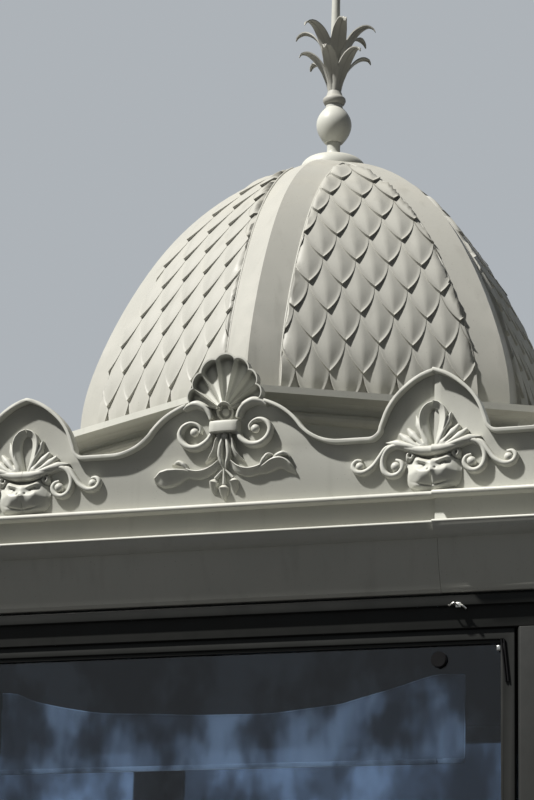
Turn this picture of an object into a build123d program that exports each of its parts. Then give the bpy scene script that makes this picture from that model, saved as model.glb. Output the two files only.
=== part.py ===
from build123d import *
import os
from math import asin, cos, degrees, hypot, radians, sin, tan

# Street kiosk. Millimetres, +Z up, origin at the bottom centre.
# The long front faces -Y. The crest's face on that side is the reference for depths.

# Plan
front_module = 1100
front_modules = 3
side_module = 880
side_modules = 2
body_inset = 110

# Heights from the ground
plinth_height = 150
counter_height = 1000
rail_height = 1900
bead_top = 3100

# Cornice section: depths behind the crest's face and drops below the bead's top
bead_radius = 7
fascia_depth = 34
fascia_drop = 74
lip_depth = 2
lip_height = 8
ovolo_depth = 50
ovolo_drop = 109
ovolo_bulge = 8.5
face_foot_depth = 84
face_bulge = 4.5
cornice_foot_depth = 92
cornice_foot_rise = 8
cornice_height = 237
soffit_gap = 8
soffit_lip_height = 26

# Crest
panel_depth = 25
panel_thickness = 12
rim_width = 9
arch_top = 300
arch_half_width = 140
arch_side_across = 76
arch_side_drop = 36
arch_foot_across = 128
arch_foot_drop = 108
crest_low = 131
notch_rise = 26
notch_reach = 25
notch_round = 7.5
shoulder_top = 258
sweep_length = 205
least_flat = 4
sweep_middle_drop = 16
sweep_hollow_share = 0.53
sweep_hollow_rise = 11
sweep_swell_share = 0.44
sweep_swell_rise = 50
seam_step = 11
seam_gap = 0.6

# Shell ornament, drawn about the foot of the panel
shell_half_width = 105
shell_top = 384
shell_lobes = 7
shell_low_angle = -14
shell_thickness = 24
lobe_dip = 6
boss_height = 238
boss_radius = 15
boss_thickness = 28
flute_radius = 19
flute_length = 150
clasp_half_width = 42
clasp_bottom = 180
clasp_top = 210
clasp_thickness = 30
scroll_across = 88
scroll_height = 176
scroll_radius = 44
scroll_width = 14
scroll_eye_radius = 12
scroll_thickness = 16
scroll_eye_overlap = 1
husk_foot = 46
spray_foot = 112
spray_reach = 150
spray_end_height = 94

# Mask ornament, drawn about the foot of the panel
mask_chin_half_width = 40
mask_cheek_half_width = 62
mask_ear_half_width = 70
mask_brow_half_width = 44
mask_chin = 8
mask_cheek = 40
mask_ear_foot = 82
mask_ear_tip = 100
mask_ear_flare = 4
mask_brow = 92
mask_thickness = 34
mask_slope = 16
muzzle_height = 36
muzzle_radius = 30
muzzle_tip_radius = 20
muzzle_length = 22
muzzle_set_in = 4
palm_foot = 84
palm_height = 144
palm_low_reach = 104
palm_leaf_bulge = 17
palm_thickness = 16
palm_angles = (148, 118, 90, 62, 32)
inner_curl_across = 96
outer_curl_across = 186
curl_height = 58
curl_radius = 23
curl_width = 10
curl_eye_radius = 9

# Body
corner_post_width = 85
post_width = 70
post_depth = 85
post_corner_radius = 18
head_beam_drop = 325
head_beam_width = 60
deck_thickness = 30
deck_drop = 45
plinth_width = 90
plinth_inset = 12
floor_thickness = 24
floor_ledge = 40

# Windows, flap, risers and counter
flap_half_width = 728
flap_frame_width = 28
frame_width = 45
frame_thickness = 40
frame_set_back = 8
glass_thickness = 6
riser_thickness = 36
riser_set_back = 14
riser_field_depth = 9
riser_border = 70
flap_gap = 0.3
flap_side_gap = 8
counter_reach = 120
counter_thickness = 30
bracket_height = 130
bracket_thickness = 24
bracket_set_back = 30
bracket_foot = 14
bracket_bulge = 22
disc_radius = 22
disc_thickness = 10
disc_from_centre = 540
disc_drop = 32

# Door end
door_leaf_width = 770
door_height = 2050
door_frame_width = 45
stile_width = 95
door_panel_height = 800
door_thickness = 38
leaf_gap = 2
leaf_set_back = 1
handle_height = 1050
plate_half_width = 16
plate_above = 70
plate_below = 90
plate_thickness = 6
rose_radius = 11
lever_length = 120
lever_clearance = 32
lever_thickness = 14
lever_height = 22
lever_rounding = 6

# Drum and dome: radii run to the hexagon's corners, heights from the bead's top
drum_radius = 735
roll_radius = 762
roll_bottom = 256
roll_height = 32
cove_radius = 790
ring_radius = 808
ring_height = 336
ring_lip = 18
dome_radius = 706
dome_foot = 352
dome_top = 1205
crown_rise = 26
dome_wall = 25
drum_wall = 30
hip_band_width = 74
hip_band_rise = 7
cove_set_back = 4
ring_chamfer = 3
ring_slope_reach = 12

# How far the dome's hips have come in at each height above its foot
dome_insets = ((2, 60), (45, 228), (136, 428), (258, 612), (440, 776))

# Finial: heights from the bead's top
cap_radius = 98
cap_crown_radius = 39
cap_height = 46
vase_foot_radius = 33
vase_foot_height = 8
vase_neck_radius = 20
vase_neck_height = 50
vase_waist_radius = 27
vase_radius = 51
vase_shoulder_radius = 25
vase_top = 1418
collar_foot_radius = 22
collar_radius = 34
collar_neck_radius = 24
collar_height = 52
collar_bulge_share = 0.3
collar_neck_share = 0.6
stem_length = 142
leaf_reach = 128
leaf_rise = 214
leaf_width = 30
low_leaf_reach = 112
low_leaf_rise = 136
low_leaf_width = 26
plume_leaf_thickness = 9
leaf_set_in = 12
leaf_bend_share = 0.76
leaves_around = 6
spire_radius = 14
spire_top = 1950
spire_knop_drop = 60
spire_knop_radius = 21
spire_tip_radius = 7
spire_taper_share = 0.8

half_length = front_module * front_modules / 2
half_depth = side_module * side_modules / 2
body_half_length = half_length - body_inset
body_half_depth = half_depth - body_inset
head_bottom = bead_top - head_beam_drop
deck_bottom = bead_top - deck_drop - deck_thickness
seam_at = front_module / 2
seam_swing = degrees(asin(seam_step / front_module))
collar_top = vase_top + collar_height

# A side's own frame: x runs along it, y inward from the crest's face, z up.
# Each side: turn about Z, distance from the centre, half its length, module, modules.
sides = {
    "front": (0, half_depth, half_length, front_module, front_modules),
    "right": (90, half_length, half_depth, side_module, side_modules),
    "back": (180, half_depth, half_length, front_module, front_modules),
    "left": (270, half_length, half_depth, side_module, side_modules),
}


def on_side(side, shape):
    """Moves a shape from a side's own frame to the kiosk's frame."""
    turn, reach = sides[side][:2]
    return Rot(0, 0, turn) * Pos(0, -reach, 0) * shape


def block(x0, x1, y0, y1, z0, z1):
    """A plain bar or plate between two corners."""
    return Pos((x0 + x1) / 2, (y0 + y1) / 2, (z0 + z1) / 2) * Box(x1 - x0, y1 - y0, z1 - z0)


def save(name, *solids):
    """Writes one node, made of one or more solids."""
    flat = []
    for item in solids:
        flat += item.solids()
    shape = flat[0] if len(flat) == 1 else Compound(children=flat)
    shape.label = name
    export_step(shape, f"parts/{name}.step")


def mitre(half, outward=160, inward=400, margin=900):
    """The space that a side owns between the mitre planes at its corners."""
    plan = Polygon(
        (-half - outward, -outward),
        (half + outward, -outward),
        (half - inward, inward),
        (-half + inward, inward),
        align=None,
    )
    return Pos(0, 0, bead_top - margin) * extrude(plan, 2 * margin)


def bowed(start, end, bulge):
    """An arc between two points that stands off its chord by bulge, to the right of the way it runs."""
    across = end[0] - start[0]
    up = end[1] - start[1]
    length = hypot(across, up)
    middle_x = (start[0] + end[0]) / 2 + bulge * up / length
    middle_z = (start[1] + end[1]) / 2 - bulge * across / length
    return ThreePointArc(start, (middle_x, middle_z), end)


def leaf(foot, tip, bulge):
    """A pointed leaf between two points, as a flat face."""
    return make_face([bowed(foot, tip, bulge), bowed(tip, foot, bulge)])


def raised(face, thickness):
    """A face drawn as across against height, standing out from the panel by thickness."""
    return extrude(Plane.XZ * face, thickness)


def turned(*edges):
    """A turned solid from its outer edges, drawn as radius against height from the foot up."""
    foot = edges[0] @ 0
    top = edges[-1] @ 1
    profile = [Line((0, foot.Y), (foot.X, foot.Y)), *edges]
    if top.X > 0:
        profile.append(Line((top.X, top.Y), (0, top.Y)))
    profile.append(Line((0, top.Y), (0, foot.Y)))
    return revolve(Plane.XZ * make_face(profile), Axis.Z)


# Cornice
def cornice_section():
    """Bead, fascia, lip, ovolo and long face, drawn as depth against height."""
    bead_bottom = -2 * bead_radius
    lip_bottom = -fascia_drop - lip_height
    lip_round = lip_depth + lip_height / 2
    lip_top_edge = (lip_round, -fascia_drop)
    lip_low_edge = (lip_round, lip_bottom)
    face_top = (ovolo_depth, -ovolo_drop)
    face_foot = (face_foot_depth, cornice_foot_rise - cornice_height)
    return make_face([
        Line((body_inset, 0), (bead_radius, 0)),
        ThreePointArc((bead_radius, 0), (0, -bead_radius), (bead_radius, bead_bottom)),
        Line((bead_radius, bead_bottom), (fascia_depth, bead_bottom)),
        Line((fascia_depth, bead_bottom), (fascia_depth, -fascia_drop)),
        Line((fascia_depth, -fascia_drop), lip_top_edge),
        ThreePointArc(lip_top_edge, (lip_depth, (lip_bottom - fascia_drop) / 2), lip_low_edge),
        bowed(lip_low_edge, face_top, ovolo_bulge),
        bowed(face_top, face_foot, face_bulge),
        Line(face_foot, (cornice_foot_depth, -cornice_height)),
        Line((cornice_foot_depth, -cornice_height), (body_inset, -cornice_height)),
        Line((body_inset, -cornice_height), (body_inset, 0)),
    ])


def swung(shape, half):
    """A front length turned a little about its outer corner, so that it stands proud at the seam."""
    return Pos(half, 0, 0) * Rot(0, 0, seam_swing) * Pos(-half, 0, 0) * shape


def cut_at_seam(shape, half, right):
    """The part of a front length to one side of the seam, the right-hand part swung proud."""
    if right:
        shape = swung(shape, half)
    edge = seam_at + (seam_gap / 2 if right else -seam_gap / 2)
    low, high = (edge, 2 * half) if right else (-2 * half, edge)
    return shape & block(low, high, -half, half, 0, 2 * bead_top)


def cornice_bar(half):
    """One side's cornice, run past both corners."""
    return Pos(-half - body_inset, 0, bead_top) * extrude(Plane.YZ * cornice_section(),
                                                          2 * (half + body_inset))


# Crest outline, drawn from a mask's centre to the shell's centre
def half_module_edges(half, flip, start, inset=0):
    """The crest's top edge over half a module; flip draws it from shell to mask.

    Each point comes with the direction into the panel, along which inset moves it.
    """
    sweep = min(sweep_length, half - shell_half_width - arch_half_width - notch_reach - least_flat)
    sweep_end = half - shell_half_width
    sweep_start = sweep_end - sweep
    middle = (sweep_start + sweep_end) / 2
    middle_height = (crest_low + shoulder_top) / 2 - sweep_middle_drop
    hollow_x = sweep_start + (middle - sweep_start) * sweep_hollow_share
    swell_x = middle + (sweep_end - middle) * sweep_swell_share

    def at(x, z, inward):
        x += inset * cos(radians(inward))
        z += inset * sin(radians(inward))
        return (start + (half - x if flip else x), z)

    apex = at(0, arch_top, 270)
    arch_side = at(arch_side_across, arch_top - arch_side_drop, 240)
    arch_foot = at(arch_foot_across, arch_top - arch_foot_drop, 200)
    notch_top = at(arch_half_width, crest_low + notch_rise, 188)
    notch_middle = at(arch_half_width + notch_round, crest_low + notch_round, 225)
    notch_foot = at(arch_half_width + notch_reach, crest_low, 270)
    sweep_foot = at(sweep_start, crest_low, 270)
    hollow = at(hollow_x, crest_low + sweep_hollow_rise, 292)
    turning = at(middle, middle_height, 317)
    swell = at(swell_x, middle_height + sweep_swell_rise, 308)
    shoulder = at(sweep_end, shoulder_top, 280)
    shell_line = at(half, shoulder_top, 270)
    return [
        ThreePointArc(apex, arch_side, arch_foot),
        Line(arch_foot, notch_top),
        ThreePointArc(notch_top, notch_middle, notch_foot),
        Line(notch_foot, sweep_foot),
        ThreePointArc(sweep_foot, hollow, turning),
        ThreePointArc(turning, swell, shoulder),
        Line(shoulder, shell_line),
    ]


def crest_face(module, modules, inset=0, below=0):
    """The crest's outline over all modules, run on past both corners and below the bead."""
    half = module / 2
    count = 2 * modules
    left = -module * modules / 2
    edges = []
    for index in range(-1, count + 1):
        edges += half_module_edges(half, index % 2 == 1, left + index * half, inset)
    first = left - half
    last = left + (count + 1) * half
    top = shoulder_top - inset
    edges.append(Line((last, top), (last, -below)))
    edges.append(Line((last, -below), (first, -below)))
    edges.append(Line((first, -below), (first, top)))
    return make_face(edges)


def crest_bar(module, modules):
    """Panel and projecting rim of one side, run past both corners."""
    half = module * modules / 2
    outline = crest_face(module, modules)
    inner = crest_face(module, modules, rim_width, rim_width)
    panel = Pos(0, panel_depth + panel_thickness, 0) * raised(outline, panel_thickness)
    rim = Pos(0, panel_depth, 0) * (raised(outline, panel_depth) - raised(inner, panel_depth))
    for index in range(modules):
        x = -half + (index + 0.5) * module
        rim -= block(x - shell_half_width, x + shell_half_width, -panel_depth, panel_depth,
                     crest_low, 2 * shoulder_top)
    return Pos(0, 0, bead_top) * (panel + rim)


# Scallop shell and mask ornaments, built about the foot of their place on the panel
def scroll(x, z, radius, width, eye_radius, thickness):
    """A scroll seen from the front: a ring with a ball inside it on a web."""
    toward = Plane.XZ * Pos(x, z)
    ring_face = Circle(radius) - Circle(radius - width)
    eye = Pos(radius - width - eye_radius, 0) * Circle(eye_radius + scroll_eye_overlap)
    face = ring_face + (eye & Circle(radius))
    return extrude(toward * face, thickness)


def shell_ornament():
    """A fan of flutes over a boss, with the clasp, scrolls, husk and sprays under it."""
    step = (180 - 2 * shell_low_angle) / shell_lobes

    def rim_point(angle, extra=0):
        a = radians(angle)
        along = shell_half_width + extra
        up = shell_top - boss_height + extra
        return (along * cos(a), boss_height + up * sin(a))

    arcs = []
    for index in range(shell_lobes):
        a0 = shell_low_angle + index * step
        arcs.append(ThreePointArc(rim_point(a0, -lobe_dip), rim_point(a0 + step / 2),
                                  rim_point(a0 + step, -lobe_dip)))
    foot = Polyline(rim_point(180 - shell_low_angle, -lobe_dip), (-clasp_half_width / 2, clasp_top),
                    (clasp_half_width / 2, clasp_top), rim_point(shell_low_angle, -lobe_dip))
    fan = raised(make_face(arcs + foot.edges()), shell_thickness)
    for index in range(shell_lobes):
        angle = shell_low_angle + (index + 0.5) * step
        flute = Cone(1, flute_radius, flute_length, align=(Align.CENTER, Align.CENTER, Align.MIN))
        fan -= Pos(0, -boss_thickness, boss_height) * Rot(0, 90 - angle, 0) * flute
    boss = Pos(0, 0, boss_height) * Rot(90, 0, 0) * Cylinder(
        boss_radius, boss_thickness, align=(Align.CENTER, Align.CENTER, Align.MIN))
    clasp = block(-clasp_half_width, clasp_half_width, -clasp_thickness, 0, clasp_bottom, clasp_top)
    whole = fan + boss + clasp
    whole += raised(leaf((0, clasp_top), (0, husk_foot), boss_radius), clasp_half_width / 2)
    for sign in (-1, 1):
        whole += scroll(sign * scroll_across, scroll_height, scroll_radius, scroll_width,
                        scroll_eye_radius, scroll_thickness)
        spray = leaf((0, spray_foot), (sign * spray_reach, spray_end_height), boss_radius)
        whole += raised(spray, scroll_thickness)
    return whole


def mask_ornament():
    """An animal mask under a palmette, with two curls each side."""
    half_face = [(mask_brow_half_width, mask_brow), (mask_cheek_half_width + mask_ear_flare, mask_ear_tip),
                 (mask_ear_half_width, mask_ear_foot), (mask_cheek_half_width, mask_cheek),
                 (mask_chin_half_width, mask_chin)]
    outline = half_face + [(-x, z) for x, z in reversed(half_face)]
    face = extrude(Plane.XZ * make_face(Polyline(*outline, close=True)), mask_thickness, taper=mask_slope)
    muzzle = Pos(0, muzzle_set_in - mask_thickness, muzzle_height) * Rot(90, 0, 0) * Cone(
        muzzle_radius, muzzle_tip_radius, muzzle_length, align=(Align.CENTER, Align.CENTER, Align.CENTER))
    head = face + muzzle
    for angle in palm_angles:
        upright_share = abs(sin(radians(angle)))
        reach = palm_low_reach + (palm_height - palm_low_reach) * upright_share
        tip = (reach * cos(radians(angle)), palm_foot + reach * sin(radians(angle)))
        head += raised(leaf((0, palm_foot), tip, palm_leaf_bulge), palm_thickness)
    for sign in (-1, 1):
        for across in (inner_curl_across, outer_curl_across):
            head += scroll(sign * across, curl_height, curl_radius, curl_width, curl_eye_radius,
                           palm_thickness)
        ring_inside = curl_radius - curl_width
        for x0, x1 in ((mask_chin_half_width, inner_curl_across - ring_inside),
                       (inner_curl_across + ring_inside, outer_curl_across - ring_inside)):
            head += block(*sorted((sign * x0, sign * x1)), -curl_width, 0,
                          curl_height - curl_width / 2, curl_height + curl_width / 2)
    return head


def shells_on(side, ornament):
    """A shell at the centre of each module."""
    _, _, half, module, modules = sides[side]
    found = []
    for index in range(modules):
        x = -half + (index + 0.5) * module
        piece = Pos(x, panel_depth, bead_top) * ornament
        if side in ("front", "back") and x > seam_at:
            piece = swung(piece, half)
        found.append(on_side(side, piece))
    return found


def masks_on(side, ornament):
    """A mask at each module boundary, split at the seam and cut on the mitre at the corners."""
    _, _, half, module, modules = sides[side]
    long_side = side in ("front", "back")
    found = []
    for index in range(modules + 1):
        x = -half + index * module
        if index == 0:
            x += panel_depth
        if index == modules:
            x -= panel_depth
        piece = Pos(x, panel_depth, bead_top) * ornament
        if long_side and x > seam_at:
            piece = swung(piece, half)
        if index in (0, modules):
            piece = piece & mitre(half)
        pieces = [piece]
        if long_side and x == seam_at:
            pieces = [cut_at_seam(piece, half, False), cut_at_seam(piece, half, True)]
        found += [on_side(side, each) for each in pieces]
    return found


# Dome, made of six equal gores round its axis
def dome_solid(grow, foot, top_gap=0):
    """The solid under a hexagonal dome whose hips stand off the drawn ones by grow."""
    flat = cos(radians(30))
    crown = dome_top + crown_rise + top_gap
    points = [((dome_radius + grow) * flat, foot)]
    for inset, height in dome_insets:
        points.append(((dome_radius + grow - inset) * flat, dome_foot + height))
    points.append((0, crown))
    section = make_face([
        Spline(*points),
        Line((0, crown), (0, foot)),
        Line((0, foot), ((dome_radius + grow) * flat, foot)),
    ])
    reach = 2 * dome_radius
    spread = reach * tan(radians(30))
    vault = Pos(0, reach, 0) * extrude(Plane.XZ * section, 2 * reach)
    wedge = make_face(Polyline((0, 0), (reach, -spread), (reach, spread), close=True))
    gore = vault & (Pos(0, 0, foot) * extrude(wedge, dome_top))
    whole = gore
    for index in range(1, 6):
        whole += Rot(0, 0, 60 * index) * gore
    return whole


def dome():
    """Hollow dome with smooth raised bands beside its hips."""
    hollow = dome_solid(-dome_wall, dome_foot - dome_wall, -dome_wall)
    core = dome_solid(-dome_wall / 2, dome_foot - dome_wall, -dome_wall / 2)
    shell = dome_solid(0, dome_foot) - hollow
    proud = dome_solid(hip_band_rise, dome_foot, hip_band_rise) - core
    bands = None
    for index in range(3):
        strip = Rot(0, 0, 90 + 60 * index) * Box(4 * dome_radius, 2 * hip_band_width, 4 * dome_top)
        bands = strip if bands is None else bands + strip
    below_cap = Cylinder(2 * dome_radius, dome_top - dome_foot,
                         align=(Align.CENTER, Align.CENTER, Align.MIN))
    whole = (shell + (proud & bands)) & (Pos(0, 0, dome_foot) * below_cap)
    return Pos(0, 0, bead_top) * whole


def hexagon(radius, z):
    """A hexagon at a height, with a corner towards the front."""
    return Pos(0, 0, z) * (Rot(0, 0, 30) * RegularPolygon(radius, 6))


def ruled(levels):
    """A faceted solid through hexagons at a list of radii and heights."""
    return loft([hexagon(radius, z) for radius, z in levels], ruled=True)


def drum():
    """Plain frieze, roll, cove and projecting lip, in one hexagonal ring under the dome."""
    roll_middle = roll_bottom + roll_height / 2
    roll_top = roll_bottom + roll_height
    lip_bottom = ring_height - ring_lip
    cove_foot = drum_radius + cove_set_back
    levels = [(drum_radius, -deck_drop), (drum_radius, roll_bottom)]
    for angle in (-60, -30, 0, 30, 60):
        levels.append((drum_radius + (roll_radius - drum_radius) * cos(radians(angle)),
                       roll_middle + roll_height / 2 * sin(radians(angle))))
    levels.append((cove_foot, roll_top))
    for angle in (30, 60, 90):
        levels.append((cove_foot + (cove_radius - cove_foot) * (1 - cos(radians(angle))),
                       roll_top + (lip_bottom - ring_chamfer - roll_top) * sin(radians(angle))))
    levels += [
        (ring_radius, lip_bottom),
        (ring_radius, ring_height),
        (dome_radius + hip_band_rise + ring_slope_reach, dome_foot),
    ]
    inner = min(drum_radius - drum_wall, dome_radius - dome_wall)
    hole = ruled([(inner, -2 * deck_drop), (inner, 2 * dome_foot)])
    return Pos(0, 0, bead_top) * (ruled(levels) - hole)


# Finial
def dome_cap():
    """The round cap where the hips meet."""
    return Pos(0, 0, bead_top) * turned(
        Spline((cap_radius, dome_top), (cap_crown_radius, dome_top + cap_height),
               tangents=((0, 1), (-1, 0))))


def vase():
    """Foot, neck, bulb and upper neck in one turned piece."""
    foot = dome_top + cap_height
    foot_edge = foot + vase_foot_height
    neck = foot + vase_neck_height
    bulb = vase_top - vase_radius
    shoulder = vase_top - vase_foot_height
    return Pos(0, 0, bead_top) * turned(
        Line((vase_foot_radius, foot), (vase_foot_radius, foot_edge)),
        Spline((vase_foot_radius, foot_edge), (vase_neck_radius, neck), tangents=((-1, 0), (0, 1))),
        Line((vase_neck_radius, neck), (vase_waist_radius, neck)),
        Spline((vase_waist_radius, neck), (vase_radius, bulb), (vase_shoulder_radius, shoulder)),
        Line((vase_shoulder_radius, shoulder), (vase_shoulder_radius, vase_top)),
    )


def leaf_blade(reach, foot, rise, width):
    """A leaf that rises beside the stem and curls over at its tip, cut from a bent strip."""
    half = plume_leaf_thickness / 2
    bend_x = reach / 2
    bend_z = foot + rise * leaf_bend_share
    tip = (reach, foot + rise - 2 * plume_leaf_thickness)
    face = make_face([
        bowed((spire_radius + half, foot), (bend_x + half, bend_z - half), rise / 20),
        bowed((bend_x + half, bend_z - half), tip, -reach / 12),
        bowed(tip, (bend_x - half, bend_z + half), reach / 5),
        bowed((bend_x - half, bend_z + half), (spire_radius - half, foot), -rise / 20),
        Line((spire_radius - half, foot), (spire_radius + half, foot)),
    ])
    return Pos(0, width / 2, 0) * extrude(Plane.XZ * face, width)


def plume():
    """Turned collar and stem with two tiers of curled leaves."""
    collar_middle = vase_top + collar_height * collar_bulge_share
    neck = vase_top + collar_height * collar_neck_share
    whole = turned(
        Spline((collar_foot_radius, vase_top), (collar_radius, collar_middle), (collar_neck_radius, neck)),
        Line((collar_neck_radius, neck), (spire_radius, collar_top)),
        Line((spire_radius, collar_top), (spire_radius, collar_top + stem_length)),
    )
    for index in range(leaves_around):
        turn = 360 / leaves_around * index
        half_turn = 180 / leaves_around
        leaf_foot = collar_top - leaf_set_in
        whole += Rot(0, 0, turn) * leaf_blade(leaf_reach, leaf_foot, leaf_rise, leaf_width)
        whole += Rot(0, 0, turn + half_turn) * leaf_blade(low_leaf_reach, leaf_foot, low_leaf_rise,
                                                          low_leaf_width)
    return Pos(0, 0, bead_top) * whole


def spire():
    """The tapering point above the leaves, with a knop near its tip."""
    foot = collar_top + stem_length
    knop = spire_top - spire_knop_drop
    below_knop = (spire_radius * spire_taper_share, knop - spire_knop_radius)
    above_knop = (spire_tip_radius, knop + spire_knop_radius)
    return Pos(0, 0, bead_top) * turned(
        Line((spire_radius, foot), below_knop),
        Spline(below_knop, (spire_knop_radius, knop), above_knop),
        Line(above_knop, (0, spire_top)),
    )


# Body
def ring(half_x, half_y, width, z0, z1):
    """A rectangular ring of bars with the given outer half sizes."""
    return block(-half_x, half_x, -half_y, half_y, z0, z1) - block(
        width - half_x, half_x - width, width - half_y, half_y - width, z0, z1)


def plinth():
    """Base ring on the ground with a ledge for the floor."""
    half_x = body_half_length - plinth_inset
    half_y = body_half_depth - plinth_inset
    whole = ring(half_x, half_y, plinth_width, 0, plinth_height)
    inner = plinth_width - floor_ledge
    rebate = block(inner - half_x, half_x - inner, inner - half_y, half_y - inner,
                   plinth_height - floor_thickness, plinth_height)
    return whole - rebate


def floor_panel():
    """The floor, lying on the plinth's ledge."""
    inner = plinth_inset + plinth_width - floor_ledge
    return block(inner - body_half_length, body_half_length - inner, inner - body_half_depth,
                 body_half_depth - inner, plinth_height - floor_thickness, plinth_height)


def upright(width, depth, bottom, top):
    """A post with rounded outer corners, its outer face at y = 0."""
    plan = Pos(0, depth / 2) * Rectangle(width, depth)
    plan = fillet(plan.vertices().sort_by(Axis.Y)[:2], post_corner_radius / 2)
    return Pos(0, 0, bottom) * extrude(plan, top - bottom)


def corner_post(sign_x, sign_y):
    """A square corner post with a large round outer corner."""
    size = corner_post_width
    x = sign_x * (body_half_length - size / 2)
    y = sign_y * (body_half_depth - size / 2)
    plan = Pos(x, y) * Rectangle(size, size)
    outer = max(plan.vertices(), key=lambda vertex: sign_x * vertex.X + sign_y * vertex.Y)
    plan = fillet([outer], post_corner_radius)
    return Pos(0, 0, plinth_height) * extrude(plan, head_bottom - plinth_height)


def bays(side):
    """The clear spans between posts on a side, as pairs of x."""
    _, _, half, _, _ = sides[side]
    inner = half - body_inset - corner_post_width
    if side in ("left", "right"):
        return [(-inner, inner)]
    near = flap_half_width + flap_side_gap
    far = near + post_width
    return [(-inner, -far), (-near, near), (far, inner)]


def frame_in(x0, x1, z0, z1, width):
    """A window frame that fills a span."""
    y0 = body_inset + frame_set_back
    outer = block(x0, x1, y0, y0 + frame_thickness, z0, z1)
    return outer - block(x0 + width, x1 - width, y0, y0 + frame_thickness, z0 + width, z1 - width)


def pane_in(x0, x1, z0, z1, width):
    """The glass of the frame of the same numbers."""
    y0 = body_inset + frame_set_back + (frame_thickness - glass_thickness) / 2
    return block(x0 + width, x1 - width, y0, y0 + glass_thickness, z0 + width, z1 - width)


def riser_in(x0, x1, z0, z1):
    """A stall panel with a sunk field and bevelled edges."""
    y0 = body_inset + riser_set_back
    slab = block(x0, x1, y0, y0 + riser_thickness, z0, z1)
    middle = Pos((x0 + x1) / 2, (z0 + z1) / 2)
    field = middle * Rectangle(x1 - x0 - 2 * riser_border, z1 - z0 - 2 * riser_border)
    return slab - Pos(0, y0, 0) * extrude(Plane.XZ * field, -riser_field_depth, taper=30)


def wall_pieces(side):
    """Risers, display frames and panes of a side, one of each in every bay."""
    risers, frames, panes = [], [], []
    for x0, x1 in bays(side):
        risers.append(on_side(side, riser_in(x0, x1, plinth_height, counter_height)))
        is_flap_bay = side == "front" and x0 < 0 < x1
        top = rail_height if is_flap_bay else head_bottom
        lights = [(x0, x1)]
        if side in ("left", "right"):
            lights = [(x0, 0), (0, x1)]
        for a, b in lights:
            frames.append(on_side(side, frame_in(a, b, counter_height, top, frame_width)))
            panes.append(on_side(side, pane_in(a, b, counter_height, top, frame_width)))
    return risers, frames, panes


def counter():
    """Counter ledge along the front on shaped brackets."""
    half = body_half_length
    wall = body_inset
    nose = body_inset - counter_reach
    top = counter_height + counter_thickness
    edge = counter_thickness / 2
    section = make_face([
        Line((wall, counter_height), (wall, top)),
        Line((wall, top), (nose + edge, top)),
        ThreePointArc((nose + edge, top), (nose, counter_height + edge), (nose + edge, counter_height)),
        Line((nose + edge, counter_height), (wall, counter_height)),
    ])
    whole = Pos(-half, 0, 0) * extrude(Plane.YZ * section, 2 * half)
    corner = (wall, counter_height)
    tip = (nose + bracket_set_back, counter_height)
    heel = (wall - bracket_foot, counter_height - bracket_height)
    foot = (wall, counter_height - bracket_height)
    profile = make_face([Line(corner, tip), bowed(tip, heel, -bracket_bulge), Line(heel, foot),
                         Line(foot, corner)])
    post_at = flap_half_width + flap_side_gap + post_width / 2
    corner_at = half - corner_post_width / 2
    for x in (-corner_at, -post_at, post_at, corner_at):
        whole += Pos(x - bracket_thickness / 2, 0, 0) * extrude(Plane.YZ * profile, bracket_thickness)
    return on_side("front", whole)


def glass_fixings():
    """Round fixings on the flap's glass."""
    found = []
    glass_face = body_inset + frame_set_back + (frame_thickness - glass_thickness) / 2
    z = head_bottom - flap_frame_width - disc_drop
    for sign in (-1, 1):
        disc = Pos(sign * disc_from_centre, glass_face, z) * Rot(90, 0, 0) * Cylinder(
            disc_radius, disc_thickness, align=(Align.CENTER, Align.CENTER, Align.MIN))
        found.append(on_side("front", disc))
    return found


# Door end
def lever_handle(x, y):
    """A plate, a round neck and a lever that points away from the lock side."""
    plate = block(x - plate_half_width, x + plate_half_width, y - plate_thickness, y,
                  handle_height - plate_below, handle_height + plate_above)
    neck_length = lever_clearance + plate_thickness
    neck = Pos(x, y, handle_height) * Rot(90, 0, 0) * Cylinder(
        rose_radius, neck_length, align=(Align.CENTER, Align.CENTER, Align.MIN))
    lever = block(x - lever_length, x + rose_radius, y - neck_length - lever_thickness, y - neck_length,
                  handle_height - lever_height / 2, handle_height + lever_height / 2)
    lever = fillet(lever.edges().filter_by(Axis.X), lever_rounding)
    return plate + neck + lever


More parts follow.
